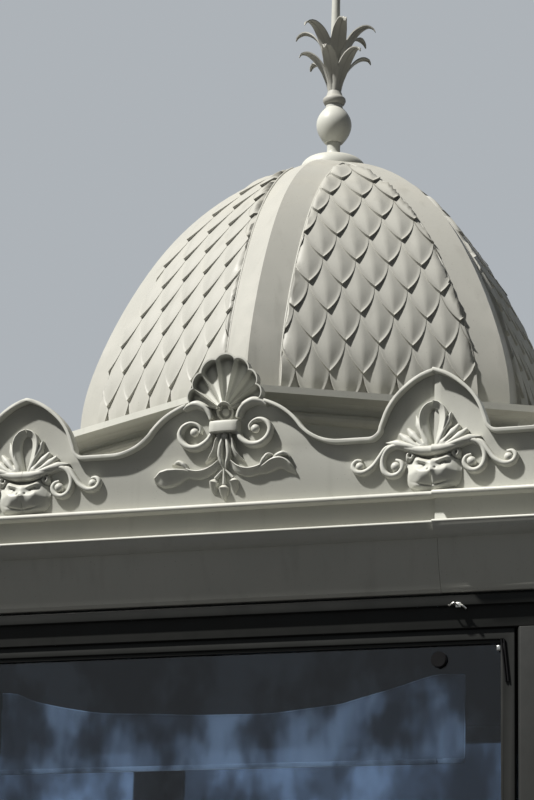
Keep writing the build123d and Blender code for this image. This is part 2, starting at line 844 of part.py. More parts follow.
def door_pieces():
    """Frame with a transom bar, leaf, panes and handle in the left end."""
    x0, x1 = bays("left")[0]
    half = door_leaf_width / 2 + leaf_gap + door_frame_width
    head = door_height + plinth_height
    y0 = body_inset + frame_set_back
    y1 = y0 + frame_thickness
    inner = half - door_frame_width
    light_bottom = head + leaf_gap + door_frame_width
    light_top = head_bottom - door_frame_width
    frame = block(-half, half, y0, y1, plinth_height, head_bottom)
    frame -= block(-inner, inner, y0, y1, plinth_height, head + leaf_gap)
    frame -= block(-inner, inner, y0, y1, light_bottom, light_top)
    glass_y = y0 + (frame_thickness - glass_thickness) / 2
    transom = block(-inner, inner, glass_y, glass_y + glass_thickness, light_bottom, light_top)
    w = door_leaf_width / 2
    pane_half = w - stile_width
    leaf_y = y0 + leaf_set_back
    pane_bottom = plinth_height + door_panel_height + stile_width
    pane_top = head - stile_width
    field_height = door_panel_height - stile_width
    field = Pos(0, plinth_height + stile_width + field_height / 2) * Rectangle(2 * pane_half, field_height)
    leaf_slab = block(-w, w, leaf_y, leaf_y + door_thickness, plinth_height, head)
    leaf_slab -= Pos(0, leaf_y, 0) * extrude(Plane.XZ * field, -riser_field_depth, taper=30)
    leaf_slab -= block(-pane_half, pane_half, leaf_y, leaf_y + door_thickness, pane_bottom, pane_top)
    pane_y = leaf_y + (door_thickness - glass_thickness) / 2
    pane = block(-pane_half, pane_half, pane_y, pane_y + glass_thickness, pane_bottom, pane_top)
    handle = lever_handle(w - stile_width / 2, leaf_y)
    side_panels = [riser_in(a, b, plinth_height, head_bottom) for a, b in ((x0, -half), (half, x1))]
    return frame, leaf_slab, transom, pane, handle, side_panels


def posts_on(side):
    """The two intermediate posts of a long side."""
    found = []
    x = flap_half_width + flap_side_gap + post_width / 2
    for sign in (-1, 1):
        post = Pos(sign * x, body_inset, 0) * upright(post_width, post_depth, plinth_height, head_bottom)
        found.append(on_side(side, post))
    return found


os.makedirs("parts", exist_ok=True)

save("plinth", plinth())
save("floor_panel", floor_panel())
save("corner_posts", *[corner_post(sx, sy) for sx in (-1, 1) for sy in (-1, 1)])
save("front_posts", *posts_on("front"))
save("back_posts", *posts_on("back"))

save("head_beam", ring(body_half_length, body_half_depth, head_beam_width, head_bottom, deck_bottom))
soffit_top = bead_top - cornice_height - soffit_gap
soffit_out = body_inset - cornice_foot_depth
save("soffit_lip", ring(body_half_length + soffit_out, body_half_depth + soffit_out, soffit_out,
                        soffit_top - soffit_lip_height, soffit_top))
save("roof_deck", block(-body_half_length, body_half_length, -body_half_depth, body_half_depth,
                        deck_bottom, deck_bottom + deck_thickness))

for side in ("front", "back", "right"):
    risers, frames, panes = wall_pieces(side)
    save(f"{side}_risers", *risers)
    save(f"{side}_window_frames", *frames)
    save(f"{side}_window_glass", *panes)

flap = (-flap_half_width, flap_half_width, rail_height + flap_gap, head_bottom - flap_gap, flap_frame_width)
save("flap_frame", on_side("front", frame_in(*flap)))
save("flap_glass", on_side("front", pane_in(*flap)))
save("flap_fixings", *glass_fixings())
save("counter", counter())

door_frame, door_leaf, transom_glass, door_glass, door_handle, door_sides = door_pieces()
save("door_frame", on_side("left", door_frame))
save("door_leaf", on_side("left", door_leaf))
save("door_glass", *[on_side("left", pane) for pane in (transom_glass, door_glass)])
save("door_handle", on_side("left", door_handle))
save("door_side_panels", *[on_side("left", panel) for panel in door_sides])

for side in ("front", "back"):
    half, module, modules = sides[side][2:]
    for name, bar in (("cornice", cornice_bar(half)), ("crest", crest_bar(module, modules))):
        for hand, right in (("left", False), ("right", True)):
            save(f"{name}_{side}_{hand}", on_side(side, cut_at_seam(bar, half, right) & mitre(half)))
for side in ("left", "right"):
    half, module, modules = sides[side][2:]
    save(f"cornice_{side}_end", on_side(side, cornice_bar(half) & mitre(half)))
    save(f"crest_{side}_end", on_side(side, crest_bar(module, modules) & mitre(half)))

shell = shell_ornament()
mask = mask_ornament()
save("front_shells", *shells_on("front", shell))
save("back_shells", *shells_on("back", shell))
save("end_shells", *(shells_on("left", shell) + shells_on("right", shell)))
save("front_masks", *masks_on("front", mask))
save("back_masks", *masks_on("back", mask))
save("end_masks", *(masks_on("left", mask) + masks_on("right", mask)))

save("dome_drum", drum())
save("dome_shell", dome())
save("dome_cap", dome_cap())
save("finial_vase", vase())
save("finial_plume", plume())
save("finial_spire", spire())
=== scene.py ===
"""Street kiosk: crest ornament, dome scales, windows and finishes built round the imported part."""

import math
from functools import partial

import bmesh
import bpy
import numpy as np
from bpy.props import FloatProperty, FloatVectorProperty, PointerProperty
from bpy.types import Operator, Panel, PropertyGroup
from mathutils import Matrix, Vector
from mathutils.bvhtree import BVHTree


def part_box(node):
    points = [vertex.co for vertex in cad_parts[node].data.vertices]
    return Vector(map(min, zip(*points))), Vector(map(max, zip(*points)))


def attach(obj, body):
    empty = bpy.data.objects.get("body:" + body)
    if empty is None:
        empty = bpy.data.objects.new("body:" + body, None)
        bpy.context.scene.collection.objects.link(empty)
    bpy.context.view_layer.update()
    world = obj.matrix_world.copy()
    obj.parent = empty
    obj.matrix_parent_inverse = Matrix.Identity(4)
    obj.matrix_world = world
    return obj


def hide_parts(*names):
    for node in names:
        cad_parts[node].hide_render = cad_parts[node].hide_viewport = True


bl_info = {
    "name": "Street kiosk",
    "version": (1, 0, 0),
    "blender": (4, 5, 0),
    "location": "View3D > Sidebar > Kiosk",
    "description": "Ornament, dome scales, windows and finishes of a street kiosk",
    "category": "Object",
}

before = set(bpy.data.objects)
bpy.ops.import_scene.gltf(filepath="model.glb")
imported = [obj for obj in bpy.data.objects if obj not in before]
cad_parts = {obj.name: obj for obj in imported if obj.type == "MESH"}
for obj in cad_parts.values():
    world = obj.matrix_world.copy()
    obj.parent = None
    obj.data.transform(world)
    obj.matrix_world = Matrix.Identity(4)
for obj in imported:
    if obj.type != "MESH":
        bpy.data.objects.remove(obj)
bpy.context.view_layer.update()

MM = 0.001

# Where relief ends behind the face of its panel, in mm
BASE = -0.5

# Level of the cornice's bead, reach of its two sides, and how deep the crest's panel is sunk
BEAD_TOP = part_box("cornice_front_left")[1].z
HALF_LENGTH = -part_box("cornice_left_end")[0].x
HALF_DEPTH = -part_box("cornice_front_left")[0].y
PANEL_DEPTH = 0.025

# Place of the seam on the long sides, and how far the right length stands out and turns there
SEAM_AT = HALF_LENGTH / 3
SEAM_PROUD = 0.011
SEAM_SWING = math.asin(SEAM_PROUD / (2 * HALF_LENGTH / 3))

# Height of the shell's centre above the bead, in mm
SHELL_CENTRE = 241

# Edges sharper than this many degrees are rounded
SHARP_EDGE = 28

# Half the width of a dome face over its distance from the axis
HALF_FACE = math.tan(math.radians(30))

# Heights of the crest's edge above the bead, in mm: as packed, and as the finished edge has them
CREST_HEIGHTS = ((0, 0), (131, 147), (258, 267), (300, 314), (384, 395))

# Drop from the bead's top to the cornice's long face
FACE_DROP = 0.1085

# The film's upper edge, as (along the front, up), its foot, and the height of its hem
FILM_TOP = ((-0.642, 2.660), (-0.604, 2.659), (-0.550, 2.635), (-0.459, 2.615), (-0.368, 2.600),
            (-0.093, 2.587), (0.090, 2.585), (0.275, 2.603), (0.412, 2.638), (0.517, 2.669),
            (0.595, 2.667))
FILM_FOOT = 2.450
FILM_HEM = 0.012

# Turn about Z, distance from the centre, half the length, and number of modules of each side
SIDES = {
    "front": (0, HALF_DEPTH, HALF_LENGTH, 3),
    "right": (90, HALF_LENGTH, HALF_DEPTH, 2),
    "back": (180, HALF_DEPTH, HALF_LENGTH, 3),
    "left": (270, HALF_LENGTH, HALF_DEPTH, 2),
}

# Cross-sections of a strand of relief: across from one edge to the other, against height
ROUND = [(1, None), (1, 0.35), (0.92, 0.66), (0.7, 0.88), (0.36, 0.98), (0, 1), (-0.36, 0.98),
         (-0.7, 0.88), (-0.92, 0.66), (-1, 0.35), (-1, None)]
SLOPED = [(1, None), (1, 0.7), (0.93, 0.95), (0.74, 1), (0.3, 0.76), (-0.2, 0.56), (-0.7, 0.42),
          (-0.95, 0.25), (-1, 0.1), (-1, None)]
UNDERCUT = [(-a, b) for a, b in reversed(SLOPED)]

# The weathering's own inputs, with the values that its group starts from
WEATHER = {"Dust": 0.4, "Wear": 0.5, "Streaks": 0.4, "Roughness": 0.42}

# Tints of dull patches, rain streaks, painted shade in hollows and specks
DULL = (0.12, 0.115, 0.10, 1)
RAIN = (0.14, 0.13, 0.10, 1)
HOLLOW_SHADE = (0.09, 0.085, 0.07, 1)
SPECK = (0.1, 0.09, 0.07, 1)

# Floor and surroundings, as the light sees them and as the camera does
FLOOR_LIT = (0.03, 0.03, 0.03, 1)
FLOOR_SEEN = (0.3, 0.3, 0.295, 1)
SKY_LIT = (0.9, 0.95, 1.0, 1)
SKY_SEEN = (0.42, 0.45, 0.48, 1)

# Camera: its place in metres, and its turn to the left, upward and sideways in degrees
CAMERA_AT = (2.245, -7.022, 1.509)
CAMERA_TURNS = (19.12, 15.90, 1.35)


class Gathered:
    """Points and faces of the many parts that one joined piece is made of."""

    def __init__(self):
        self.points = []
        self.faces = []
        self.count = 0

    def add(self, made, place=None):
        """Takes in one part, moved by place where that is given."""
        points, faces = made
        if place is not None:
            points = place(points)
        self.points.append(points)
        self.faces += [tuple(self.count + i for i in face) for face in faces]
        self.count += len(points)


def mirrored(made):
    """The same part on the other side of its centre line."""
    points, faces = made
    return points * np.array((-1, 1, 1)), [tuple(reversed(face)) for face in faces]


def grid_faces(rows, columns, closed=False):
    """Four-sided faces over rows of points; closed joins the last column to the first."""
    faces = []
    for r in range(rows - 1):
        for c in range(columns if closed else columns - 1):
            d = (c + 1) % columns
            faces.append((r * columns + c, r * columns + d, (r + 1) * columns + d,
                          (r + 1) * columns + c))
    return faces


def double_faces(rows, columns):
    """Faces over two like grids, one behind the other, with walls round their rim."""
    front = grid_faces(rows, columns)
    count = rows * columns
    faces = front + [tuple(count + i for i in reversed(face)) for face in front]
    rim = list(range(columns))
    rim += [r * columns + columns - 1 for r in range(1, rows)]
    rim += [(rows - 1) * columns + c for c in range(columns - 2, -1, -1)]
    rim += [r * columns for r in range(rows - 2, 0, -1)]
    return faces + [(a, count + a, count + b, b) for a, b in zip(rim, rim[1:] + rim[:1])]


def run_along(line):
    """Distance from a line's start to each of its points."""
    steps = np.linalg.norm(np.diff(line, axis=0), axis=1)
    return np.concatenate([[0], np.cumsum(steps)])


def directions(line):
    """Unit direction of a line at each of its points."""
    along = np.gradient(line, axis=0)
    return along / np.linalg.norm(along, axis=1)[:, None]


def circle(count):
    """Evenly spaced angles once round."""
    return np.linspace(0, 2 * math.pi, count, endpoint=False)


def smooth_path(points, count):
    """A smooth line through the given points, at even steps along it."""
    points = np.asarray(points, float)
    padded = np.vstack([2 * points[0] - points[1], points, 2 * points[-1] - points[-2]])
    dense = []
    for a, b, c, d in zip(padded, padded[1:], padded[2:], padded[3:]):
        for t in np.linspace(0, 1, 12, endpoint=False):
            dense.append(0.5 * (2 * b + (c - a) * t + (2 * a - 5 * b + 4 * c - d) * t * t
                                + (3 * b - a - 3 * c + d) * t ** 3))
    dense.append(points[-1])
    dense = np.array(dense)
    run = run_along(dense)
    at = np.linspace(0, run[-1], count)
    return np.stack([np.interp(at, run, dense[:, k]) for k in range(dense.shape[1])], axis=1)


def spread(values, count):
    """A short list of values spread evenly over count stations."""
    return np.interp(np.linspace(0, 1, count), np.linspace(0, 1, len(values)), values)


def capped(points, rows, columns):
    """A tube of rows of points with both ends closed."""
    faces = grid_faces(rows, columns, closed=True)
    faces.append(tuple(reversed(range(columns))))
    faces.append(tuple(range((rows - 1) * columns, rows * columns)))
    return np.array(points, float), faces


def strand(path, width, height, section=ROUND, count=26):
    """A strip of relief along a path of (across, up), in mm, closed down to the panel."""
    line = smooth_path(path, count)
    along = directions(line)
    across = np.stack([-along[:, 1], along[:, 0]], axis=1)
    points = []
    for p, n, w, h in zip(line, across, spread(width, count) / 2, spread(height, count)):
        for a, b in section:
            out = BASE if b is None else h * b
            points.append((p[0] + n[0] * a * w, out, p[1] + n[1] * a * w))
    return capped(np.array(points) * MM, count, len(section))


def ball(x, z, out, radius):
    """A ball of relief whose middle stands off the panel by out, in mm."""
    rings, around, pole = 11, 18, 0.02
    points = []
    for tilt in np.linspace(pole, math.pi - pole, rings):
        for turn in circle(around):
            points.append((x + radius * math.sin(tilt) * math.cos(turn),
                           out + radius * math.cos(tilt),
                           z + radius * math.sin(tilt) * math.sin(turn)))
    return capped(np.array(points) * MM, rings, around)


def slab(grid):
    """A closed relief from a grid of (across, out, up) in mm, with walls down to the panel."""
    rows, columns, _ = grid.shape
    back = grid.copy()
    back[:, :, 1] = BASE
    points = np.concatenate([grid.reshape(-1, 3), back.reshape(-1, 3)]) * MM
    return points, double_faces(rows, columns)


def turned(profile, around=48):
    """A turned part about the vertical axis from (radius, height) points, in metres."""
    points = []
    for radius, height in profile:
        for turn in circle(around):
            points.append((radius * math.cos(turn), radius * math.sin(turn), height))
    return capped(points, len(profile), around)


def rod(path, radius, around=12, count=24):
    """A round bar or wire along a smooth path through points in metres."""
    line = smooth_path(path, count)
    along = directions(line)
    # Any direction will do to start from, as long as no rod runs along it
    side = np.cross(along[0], (0.3, 0.5, 0.8))
    points = []
    for p, a in zip(line, along):
        side = side - a * np.dot(side, a)
        side /= np.linalg.norm(side)
        other = np.cross(a, side)
        for turn in circle(around):
            points.append(p + radius * (math.cos(turn) * side + math.sin(turn) * other))
    return capped(points, count, around)


def bar(low, high, edge):
    """A bar between two corners, in metres, with all its edges rounded."""
    work = bmesh.new()
    bmesh.ops.create_cube(work, size=1)
    size = Vector(high) - Vector(low)
    middle = (Vector(high) + Vector(low)) / 2
    bmesh.ops.scale(work, vec=size, verts=work.verts)
    bmesh.ops.translate(work, vec=middle, verts=work.verts)
    bmesh.ops.bevel(work, geom=list(work.edges), offset=edge, offset_type="OFFSET", segments=2,
                    profile=0.5, affect="EDGES", clamp_overlap=True)
    work.verts.index_update()
    points = np.array([v.co[:] for v in work.verts])
    faces = [tuple(v.index for v in face.verts) for face in work.faces]
    work.free()
    return points, faces


def on_side(side):
    """Places points given in a side's own frame, x along, y inward and z up, on the kiosk."""
    turn, reach = SIDES[side][:2]
    turn = math.radians(turn)
    c, s = math.cos(turn), math.sin(turn)

    def place(points):
        x, y, z = points[:, 0], points[:, 1] - reach, points[:, 2]
        return np.stack([x * c - y * s, x * s + y * c, z], axis=1)
    return place


def on_panel(side, centre, proud):
    """Places relief, as (across, out, up), on the crest's panel; proud follows the seam's step."""
    half = SIDES[side][2]

    def place(points):
        x = centre + points[:, 0]
        y = PANEL_DEPTH - points[:, 1]
        if proud:
            c, s = math.cos(SEAM_SWING), math.sin(SEAM_SWING)
            x, y = half + (x - half) * c - y * s, (x - half) * s + y * c
        return on_side(side)(np.stack([x, y, BEAD_TOP + points[:, 2]], axis=1))
    return place


def round_corner(side, at_right):
    """Places half an ornament against a corner, folded so that both sides' halves meet."""
    half = SIDES[side][2]
    # Nearer to the corner than this, relief also reaches out along the side to meet its other half
    near = 0.05

    def place(points):
        across = np.abs(points[:, 0])
        out = points[:, 1]
        x = half - PANEL_DEPTH - across + out * np.clip(1 - across / near, 0, 1)
        x = x if at_right else -x
        return on_side(side)(np.stack([x, PANEL_DEPTH - out, BEAD_TOP + points[:, 2]], axis=1))
    return place


def make_piece(name, gathered, finish, replaced=(), crease=42):
    """One joined piece on the kiosk's body, with its finish and what it stands for."""
    mesh = bpy.data.meshes.new(name)
    mesh.from_pydata(np.concatenate(gathered.points).tolist(), [], gathered.faces)
    work = bmesh.new()
    work.from_mesh(mesh)
    bmesh.ops.dissolve_degenerate(work, edges=work.edges, dist=2e-6)
    bmesh.ops.recalc_face_normals(work, faces=work.faces)
    work.to_mesh(mesh)
    work.free()
    dress(name, mesh, finish, replaced, crease)


def dress(name, mesh, finish, replaced, crease):
    """Puts a mesh on the kiosk's body, smooth up to crease degrees, with its finish."""
    mesh.shade_smooth()
    mesh.set_sharp_from_angle(angle=math.radians(crease))
    mesh.materials.clear()
    mesh.materials.append(bpy.data.materials[finish])
    piece = bpy.data.objects.new(name, mesh)
    bpy.context.scene.collection.objects.link(piece)
    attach(piece, "root")
    if replaced:
        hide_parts(*replaced)


def raised_edge(place):
    """Moves a point of the crest up to the height that its finished edge has."""
    up = (place.z - BEAD_TOP) / MM
    if up > 0:
        packed, seen = zip(*CREST_HEIGHTS)
        place.z = BEAD_TOP + MM * float(np.interp(up, packed, seen))


def flush_face(side):
    """Takes the seam's step out of the cornice's long face, which runs on flush."""
    turn, _, half, _ = SIDES[side]
    c, s = math.cos(math.radians(turn)), math.sin(math.radians(turn))

    def move(place):
        if place.z < BEAD_TOP - FACE_DROP:
            inward = math.sin(SEAM_SWING) * (half - (place.x * c + place.y * s))
            place.x -= inward * s
            place.y += inward * c
    return move


def softened(name, nodes, edge, finish, reshape=None):
    """Copies nodes into one piece with their sharp edges rounded, and stands for them."""
    work = bmesh.new()
    for node_name in nodes:
        work.from_mesh(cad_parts[node_name].data)
    if reshape:
        for vert in work.verts:
            reshape(vert.co)
    same_place, flat = 2e-5, math.radians(0.4)
    bmesh.ops.remove_doubles(work, verts=work.verts, dist=same_place)
    bmesh.ops.dissolve_limit(work, angle_limit=flat, verts=work.verts, edges=work.edges)
    sharp = [e for e in work.edges if len(e.link_faces) == 2
             and e.calc_face_angle(0) > math.radians(SHARP_EDGE)]
    bmesh.ops.bevel(work, geom=sharp, offset=edge, offset_type="OFFSET", segments=2,
                    profile=0.5, affect="EDGES", clamp_overlap=False)
    mesh = bpy.data.meshes.new(name)
    work.to_mesh(mesh)
    work.free()
    dress(name, mesh, finish, nodes, 32)


# Settings that a user would change
class KioskPaint(PropertyGroup):
    """Colours and weathering of the painted metal."""

    grey: FloatVectorProperty(name="Grey paint", description="Satin paint of the crest and dome",
                              default=(0.55, 0.555, 0.51), size=3, subtype="COLOR")
    # A darker copy of the grey paint, as painted shade on the dome, and a little rougher
    dome: FloatVectorProperty(name="Dome paint", description="Grey paint made darker on the dome as painted shade",
                              default=(0.41, 0.408, 0.375), size=3, subtype="COLOR")
    charcoal: FloatVectorProperty(name="Charcoal paint", description="Paint of the body",
                                  default=(0.021, 0.022, 0.021), size=3, subtype="COLOR")
    plinth: FloatVectorProperty(name="Plinth paint", description="Paint of the base ring",
                                default=(0.018, 0.019, 0.019), size=3, subtype="COLOR")
    dust: FloatVectorProperty(name="Dust", description="Colour of settled dust",
                              default=(0.42, 0.38, 0.29), size=3, subtype="COLOR")
    glass: FloatVectorProperty(name="Glass tint", description="Tint of the dark window glass",
                               default=(0.34, 0.42, 0.53), size=3, subtype="COLOR")


class KioskDome(PropertyGroup):
    """Sizes of the dome's scales."""

    pitch: FloatProperty(name="Scale pitch", description="Distance between scales in a row",
                         default=0.091, unit="LENGTH")
    row: FloatProperty(name="Row spacing", description="Distance between rows along the dome",
                       default=0.091, unit="LENGTH")
    point: FloatProperty(name="Scale point", description="Length of a scale's pointed part",
                         default=0.105, unit="LENGTH")
    lift: FloatProperty(name="Scale lift", description="How far a scale's tip stands off the dome",
                        default=0.0135, unit="LENGTH")
    band: FloatProperty(name="Smooth band", description="Width of the plain band beside a hip",
                        default=0.0854, unit="LENGTH")


class KioskCrest(PropertyGroup):
    """Sizes of the crest and its ornament."""

    edge: FloatProperty(name="Rounded edge", description="Rounding of the crest's edges",
                        default=0.0022, unit="LENGTH")
    shell_out: FloatProperty(name="Shell relief", description="How far the shell stands out",
                             default=0.027, unit="LENGTH")


class KioskStage(PropertyGroup):
    """Camera and light."""

    key: FloatProperty(name="Key light", description="Strength of the key light", default=6.8)
    key_height: FloatProperty(name="Key height", description="Angle above the horizon",
                              default=math.radians(52), subtype="ANGLE")
    key_turn: FloatProperty(name="Key turn", description="Angle to the left of the front",
                            default=math.radians(48), subtype="ANGLE")
    fill: FloatProperty(name="Fill", description="Strength of the surrounding light",
                        default=0.08)
    lens: FloatProperty(name="Lens", description="Focal length in millimetres", default=120.15)


# Materials
def socket(group, name, way, kind, default=None):
    """Gives a node group an input or output, with its default where it has one."""
    made = group.interface.new_socket(name=name, in_out=way, socket_type="NodeSocket" + kind)
    if default is not None:
        made.default_value = default


def new_material(name):
    """A material, its node tree and its Principled shader."""
    material = bpy.data.materials.new(name)
    material.use_nodes = True
    tree = material.node_tree
    return material, tree, tree.nodes["Principled BSDF"]


def node(tree, kind, **values):
    """A shader node with the properties that are given."""
    made = tree.nodes.new("ShaderNode" + kind)
    for key, value in values.items():
        setattr(made, key, value)
    return made


def noise(tree, coordinates, scale, detail, stretch=(1, 1, 1)):
    """Noise at a scale per metre, drawn out along an axis by stretch."""
    mapping = node(tree, "Mapping")
    mapping.inputs["Scale"].default_value = stretch
    tree.links.new(coordinates, mapping.inputs["Vector"])
    made = node(tree, "TexNoise")
    made.inputs["Scale"].default_value = scale
    made.inputs["Detail"].default_value = detail
    tree.links.new(mapping.outputs["Vector"], made.inputs["Vector"])
    return made.outputs["Fac"]


def ranged(tree, value, low, high, to_low=0.0, to_high=1.0):
    """A value's course from low to high, eased and laid over another range."""
    made = node(tree, "MapRange", interpolation_type="SMOOTHSTEP")
    tree.links.new(value, made.inputs["Value"])
    for name, number in (("From Min", low), ("From Max", high), ("To Min", to_low),
                         ("To Max", to_high)):
        made.inputs[name].default_value = number
    return made.outputs["Result"]


def maths(tree, kind, first, second):
    """The result of one sum on two values or sockets."""
    made = node(tree, "Math", operation=kind)
    for place, value in enumerate((first, second)):
        if isinstance(value, (int, float)):
            made.inputs[place].default_value = value
        else:
            tree.links.new(value, made.inputs[place])
    return made.outputs[0]


def blended(tree, share, first, second, kind="MIX"):
    """Two colours or colour sockets, of which the second comes in by a share."""
    made = node(tree, "Mix", data_type="RGBA", blend_type=kind, clamp_factor=True)
    tree.links.new(share, made.inputs[0])
    for place, value in ((6, first), (7, second)):
        if isinstance(value, tuple):
            made.inputs[place].default_value = value
        else:
            tree.links.new(value, made.inputs[place])
    return made.outputs[2]


def weathering():
    """Tone changes, rain streaks, worn edges, painted shade in hollows, and dust on upward faces that
    is partly painted shade.
    """
    group = bpy.data.node_groups.new("Kiosk weathering and painted shade", "ShaderNodeTree")
    socket(group, "Paint", "INPUT", "Color", (0.4, 0.4, 0.36, 1))
    socket(group, "Dust colour", "INPUT", "Color", (0.42, 0.38, 0.29, 1))
    socket(group, "Worn colour", "INPUT", "Color", (0.62, 0.6, 0.55, 1))
    for name, value in WEATHER.items():
        socket(group, name, "INPUT", "Float", value)
    socket(group, "Colour", "OUTPUT", "Color")
    socket(group, "Roughness", "OUTPUT", "Float")
    socket(group, "Height", "OUTPUT", "Float")
    between = partial(ranged, group)
    times = partial(maths, group, "MULTIPLY")
    plus = partial(maths, group, "ADD")
    darkened = partial(blended, group, kind="MULTIPLY")
    given = group.nodes.new("NodeGroupInput").outputs
    place = node(group, "TexCoord").outputs["Object"]
    geometry = node(group, "NewGeometry")
    # Each noise with its scale per metre and its detail
    tone = noise(group, place, 2.3, 4)
    patch = noise(group, place, 11, 5)
    streak = noise(group, place, 26, 4, (1, 1, 0.05))
    speck = noise(group, place, 240, 2)
    grain = noise(group, place, 900, 2)
    dents = noise(group, place, 70, 4)
    # Dull patches and rain streaks darken the paint, and painted shade darkens it in the hollows
    colour = darkened(between(tone, 0.3, 0.7, 0.0, 0.07), given["Paint"], DULL)
    streaked = times(between(streak, 0.52, 0.78), times(given["Streaks"], 0.3))
    colour = darkened(streaked, colour, RAIN)
    # Painted shade: the paint is darker where the surface is hollow or creased
    hollow_shade = between(geometry.outputs["Pointiness"], 0.495, 0.44)
    colour = darkened(times(hollow_shade, 0.55), colour, HOLLOW_SHADE)
    # Edges wear through in patches
    edge = between(geometry.outputs["Pointiness"], 0.53, 0.6)
    worn = times(times(edge, given["Wear"]), between(patch, 0.4, 0.62))
    colour = blended(group, worn, colour, given["Worn colour"])
    # Dust settles where the face looks upward; it also darkens the upward faces as painted shade
    parts = node(group, "SeparateXYZ")
    group.links.new(geometry.outputs["Normal"], parts.inputs[0])
    dust_and_top_shade = times(between(parts.outputs["Z"], 0.35, 0.98), between(patch, 0.25, 0.75, 0.35, 1.0))
    dust_and_top_shade = times(dust_and_top_shade, given["Dust"])
    colour = blended(group, dust_and_top_shade, colour, given["Dust colour"])
    colour = darkened(between(speck, 0.68, 0.76, 0.0, 0.3), colour, SPECK)
    rough = plus(given["Roughness"], between(patch, 0.3, 0.7, -0.05, 0.09))
    rough = plus(rough, times(dust_and_top_shade, 0.35))
    height = plus(times(grain, 0.25), times(dents, 0.75))
    out = group.nodes.new("NodeGroupOutput")
    for name, value in (("Colour", colour), ("Roughness", rough), ("Height", height)):
        group.links.new(value, out.inputs[name])


def metal_paint(name, paint, values, sheen=0.2, metallic=0.0, bump=0.0006,
                worn=(0.62, 0.6, 0.55)):
    """A weathered finish with painted shade in its hollows; values are the group's dust, wear,
    streaks and roughness.
    """
    _, tree, shader = new_material(name)
    used = tree.nodes.new("ShaderNodeGroup")
    used.node_tree = bpy.data.node_groups["Kiosk weathering and painted shade"]
    used.inputs["Paint"].default_value = (*paint, 1)
    used.inputs["Dust colour"].default_value = (*bpy.context.scene.kiosk_paint.dust, 1)
    used.inputs["Worn colour"].default_value = (*worn, 1)
    for key, value in zip(WEATHER, values):
        used.inputs[key].default_value = value
    relief = node(tree, "Bump")
    relief.inputs["Strength"].default_value = 0.35
    relief.inputs["Distance"].default_value = bump
    tree.links.new(used.outputs["Colour"], shader.inputs["Base Color"])
    tree.links.new(used.outputs["Roughness"], shader.inputs["Roughness"])
    tree.links.new(used.outputs["Height"], relief.inputs["Height"])
    tree.links.new(relief.outputs["Normal"], shader.inputs["Normal"])
    shader.inputs["Metallic"].default_value = metallic
    shader.inputs["Specular IOR Level"].default_value = sheen


def dark_glass(name, tint):
    """Tinted glass with a painted reflection mottled into its tint, and smears in its roughness."""
    _, tree, shader = new_material(name)
    place = node(tree, "TexCoord").outputs["Object"]
    smear = noise(tree, place, 5, 5, (1, 1, 0.4))
    # Painted reflection: the tint is mottled lighter and darker
    reflection_mottle = noise(tree, place, 7, 3, (1, 1, 0.6))
    clear = tuple(1.4 * c for c in tint)
    deep = tuple(0.45 * c for c in tint)
    tree.links.new(blended(tree, ranged(tree, reflection_mottle, 0.4, 0.6), (*clear, 1), (*deep, 1)),
                   shader.inputs["Base Color"])
    tree.links.new(ranged(tree, smear, 0.45, 0.8, 0.015, 0.09), shader.inputs["Roughness"])
    shader.inputs["Transmission Weight"].default_value = 1
    shader.inputs["IOR"].default_value = 1.5


def frosted_film(name):
    """Thin pale film, half see-through, whose colour is lighter and darker in vertical bands as
    painted shade and light of soft folds.
    """
    _, tree, shader = new_material(name)
    place = node(tree, "TexCoord").outputs["Object"]
    # Painted shade and light of folds: lighter and darker vertical bands in the colour, which also
    # vary how see-through it is
    fold = noise(tree, place, 9, 3, (1, 1, 0.2))
    tree.links.new(blended(tree, ranged(tree, fold, 0.35, 0.65), (0.55, 0.58, 0.62, 1),
                           (0.8, 0.82, 0.84, 1)), shader.inputs["Base Color"])
    tree.links.new(ranged(tree, fold, 0.3, 0.7, 0.4, 0.62), shader.inputs["Alpha"])
    shader.inputs["Roughness"].default_value = 0.5


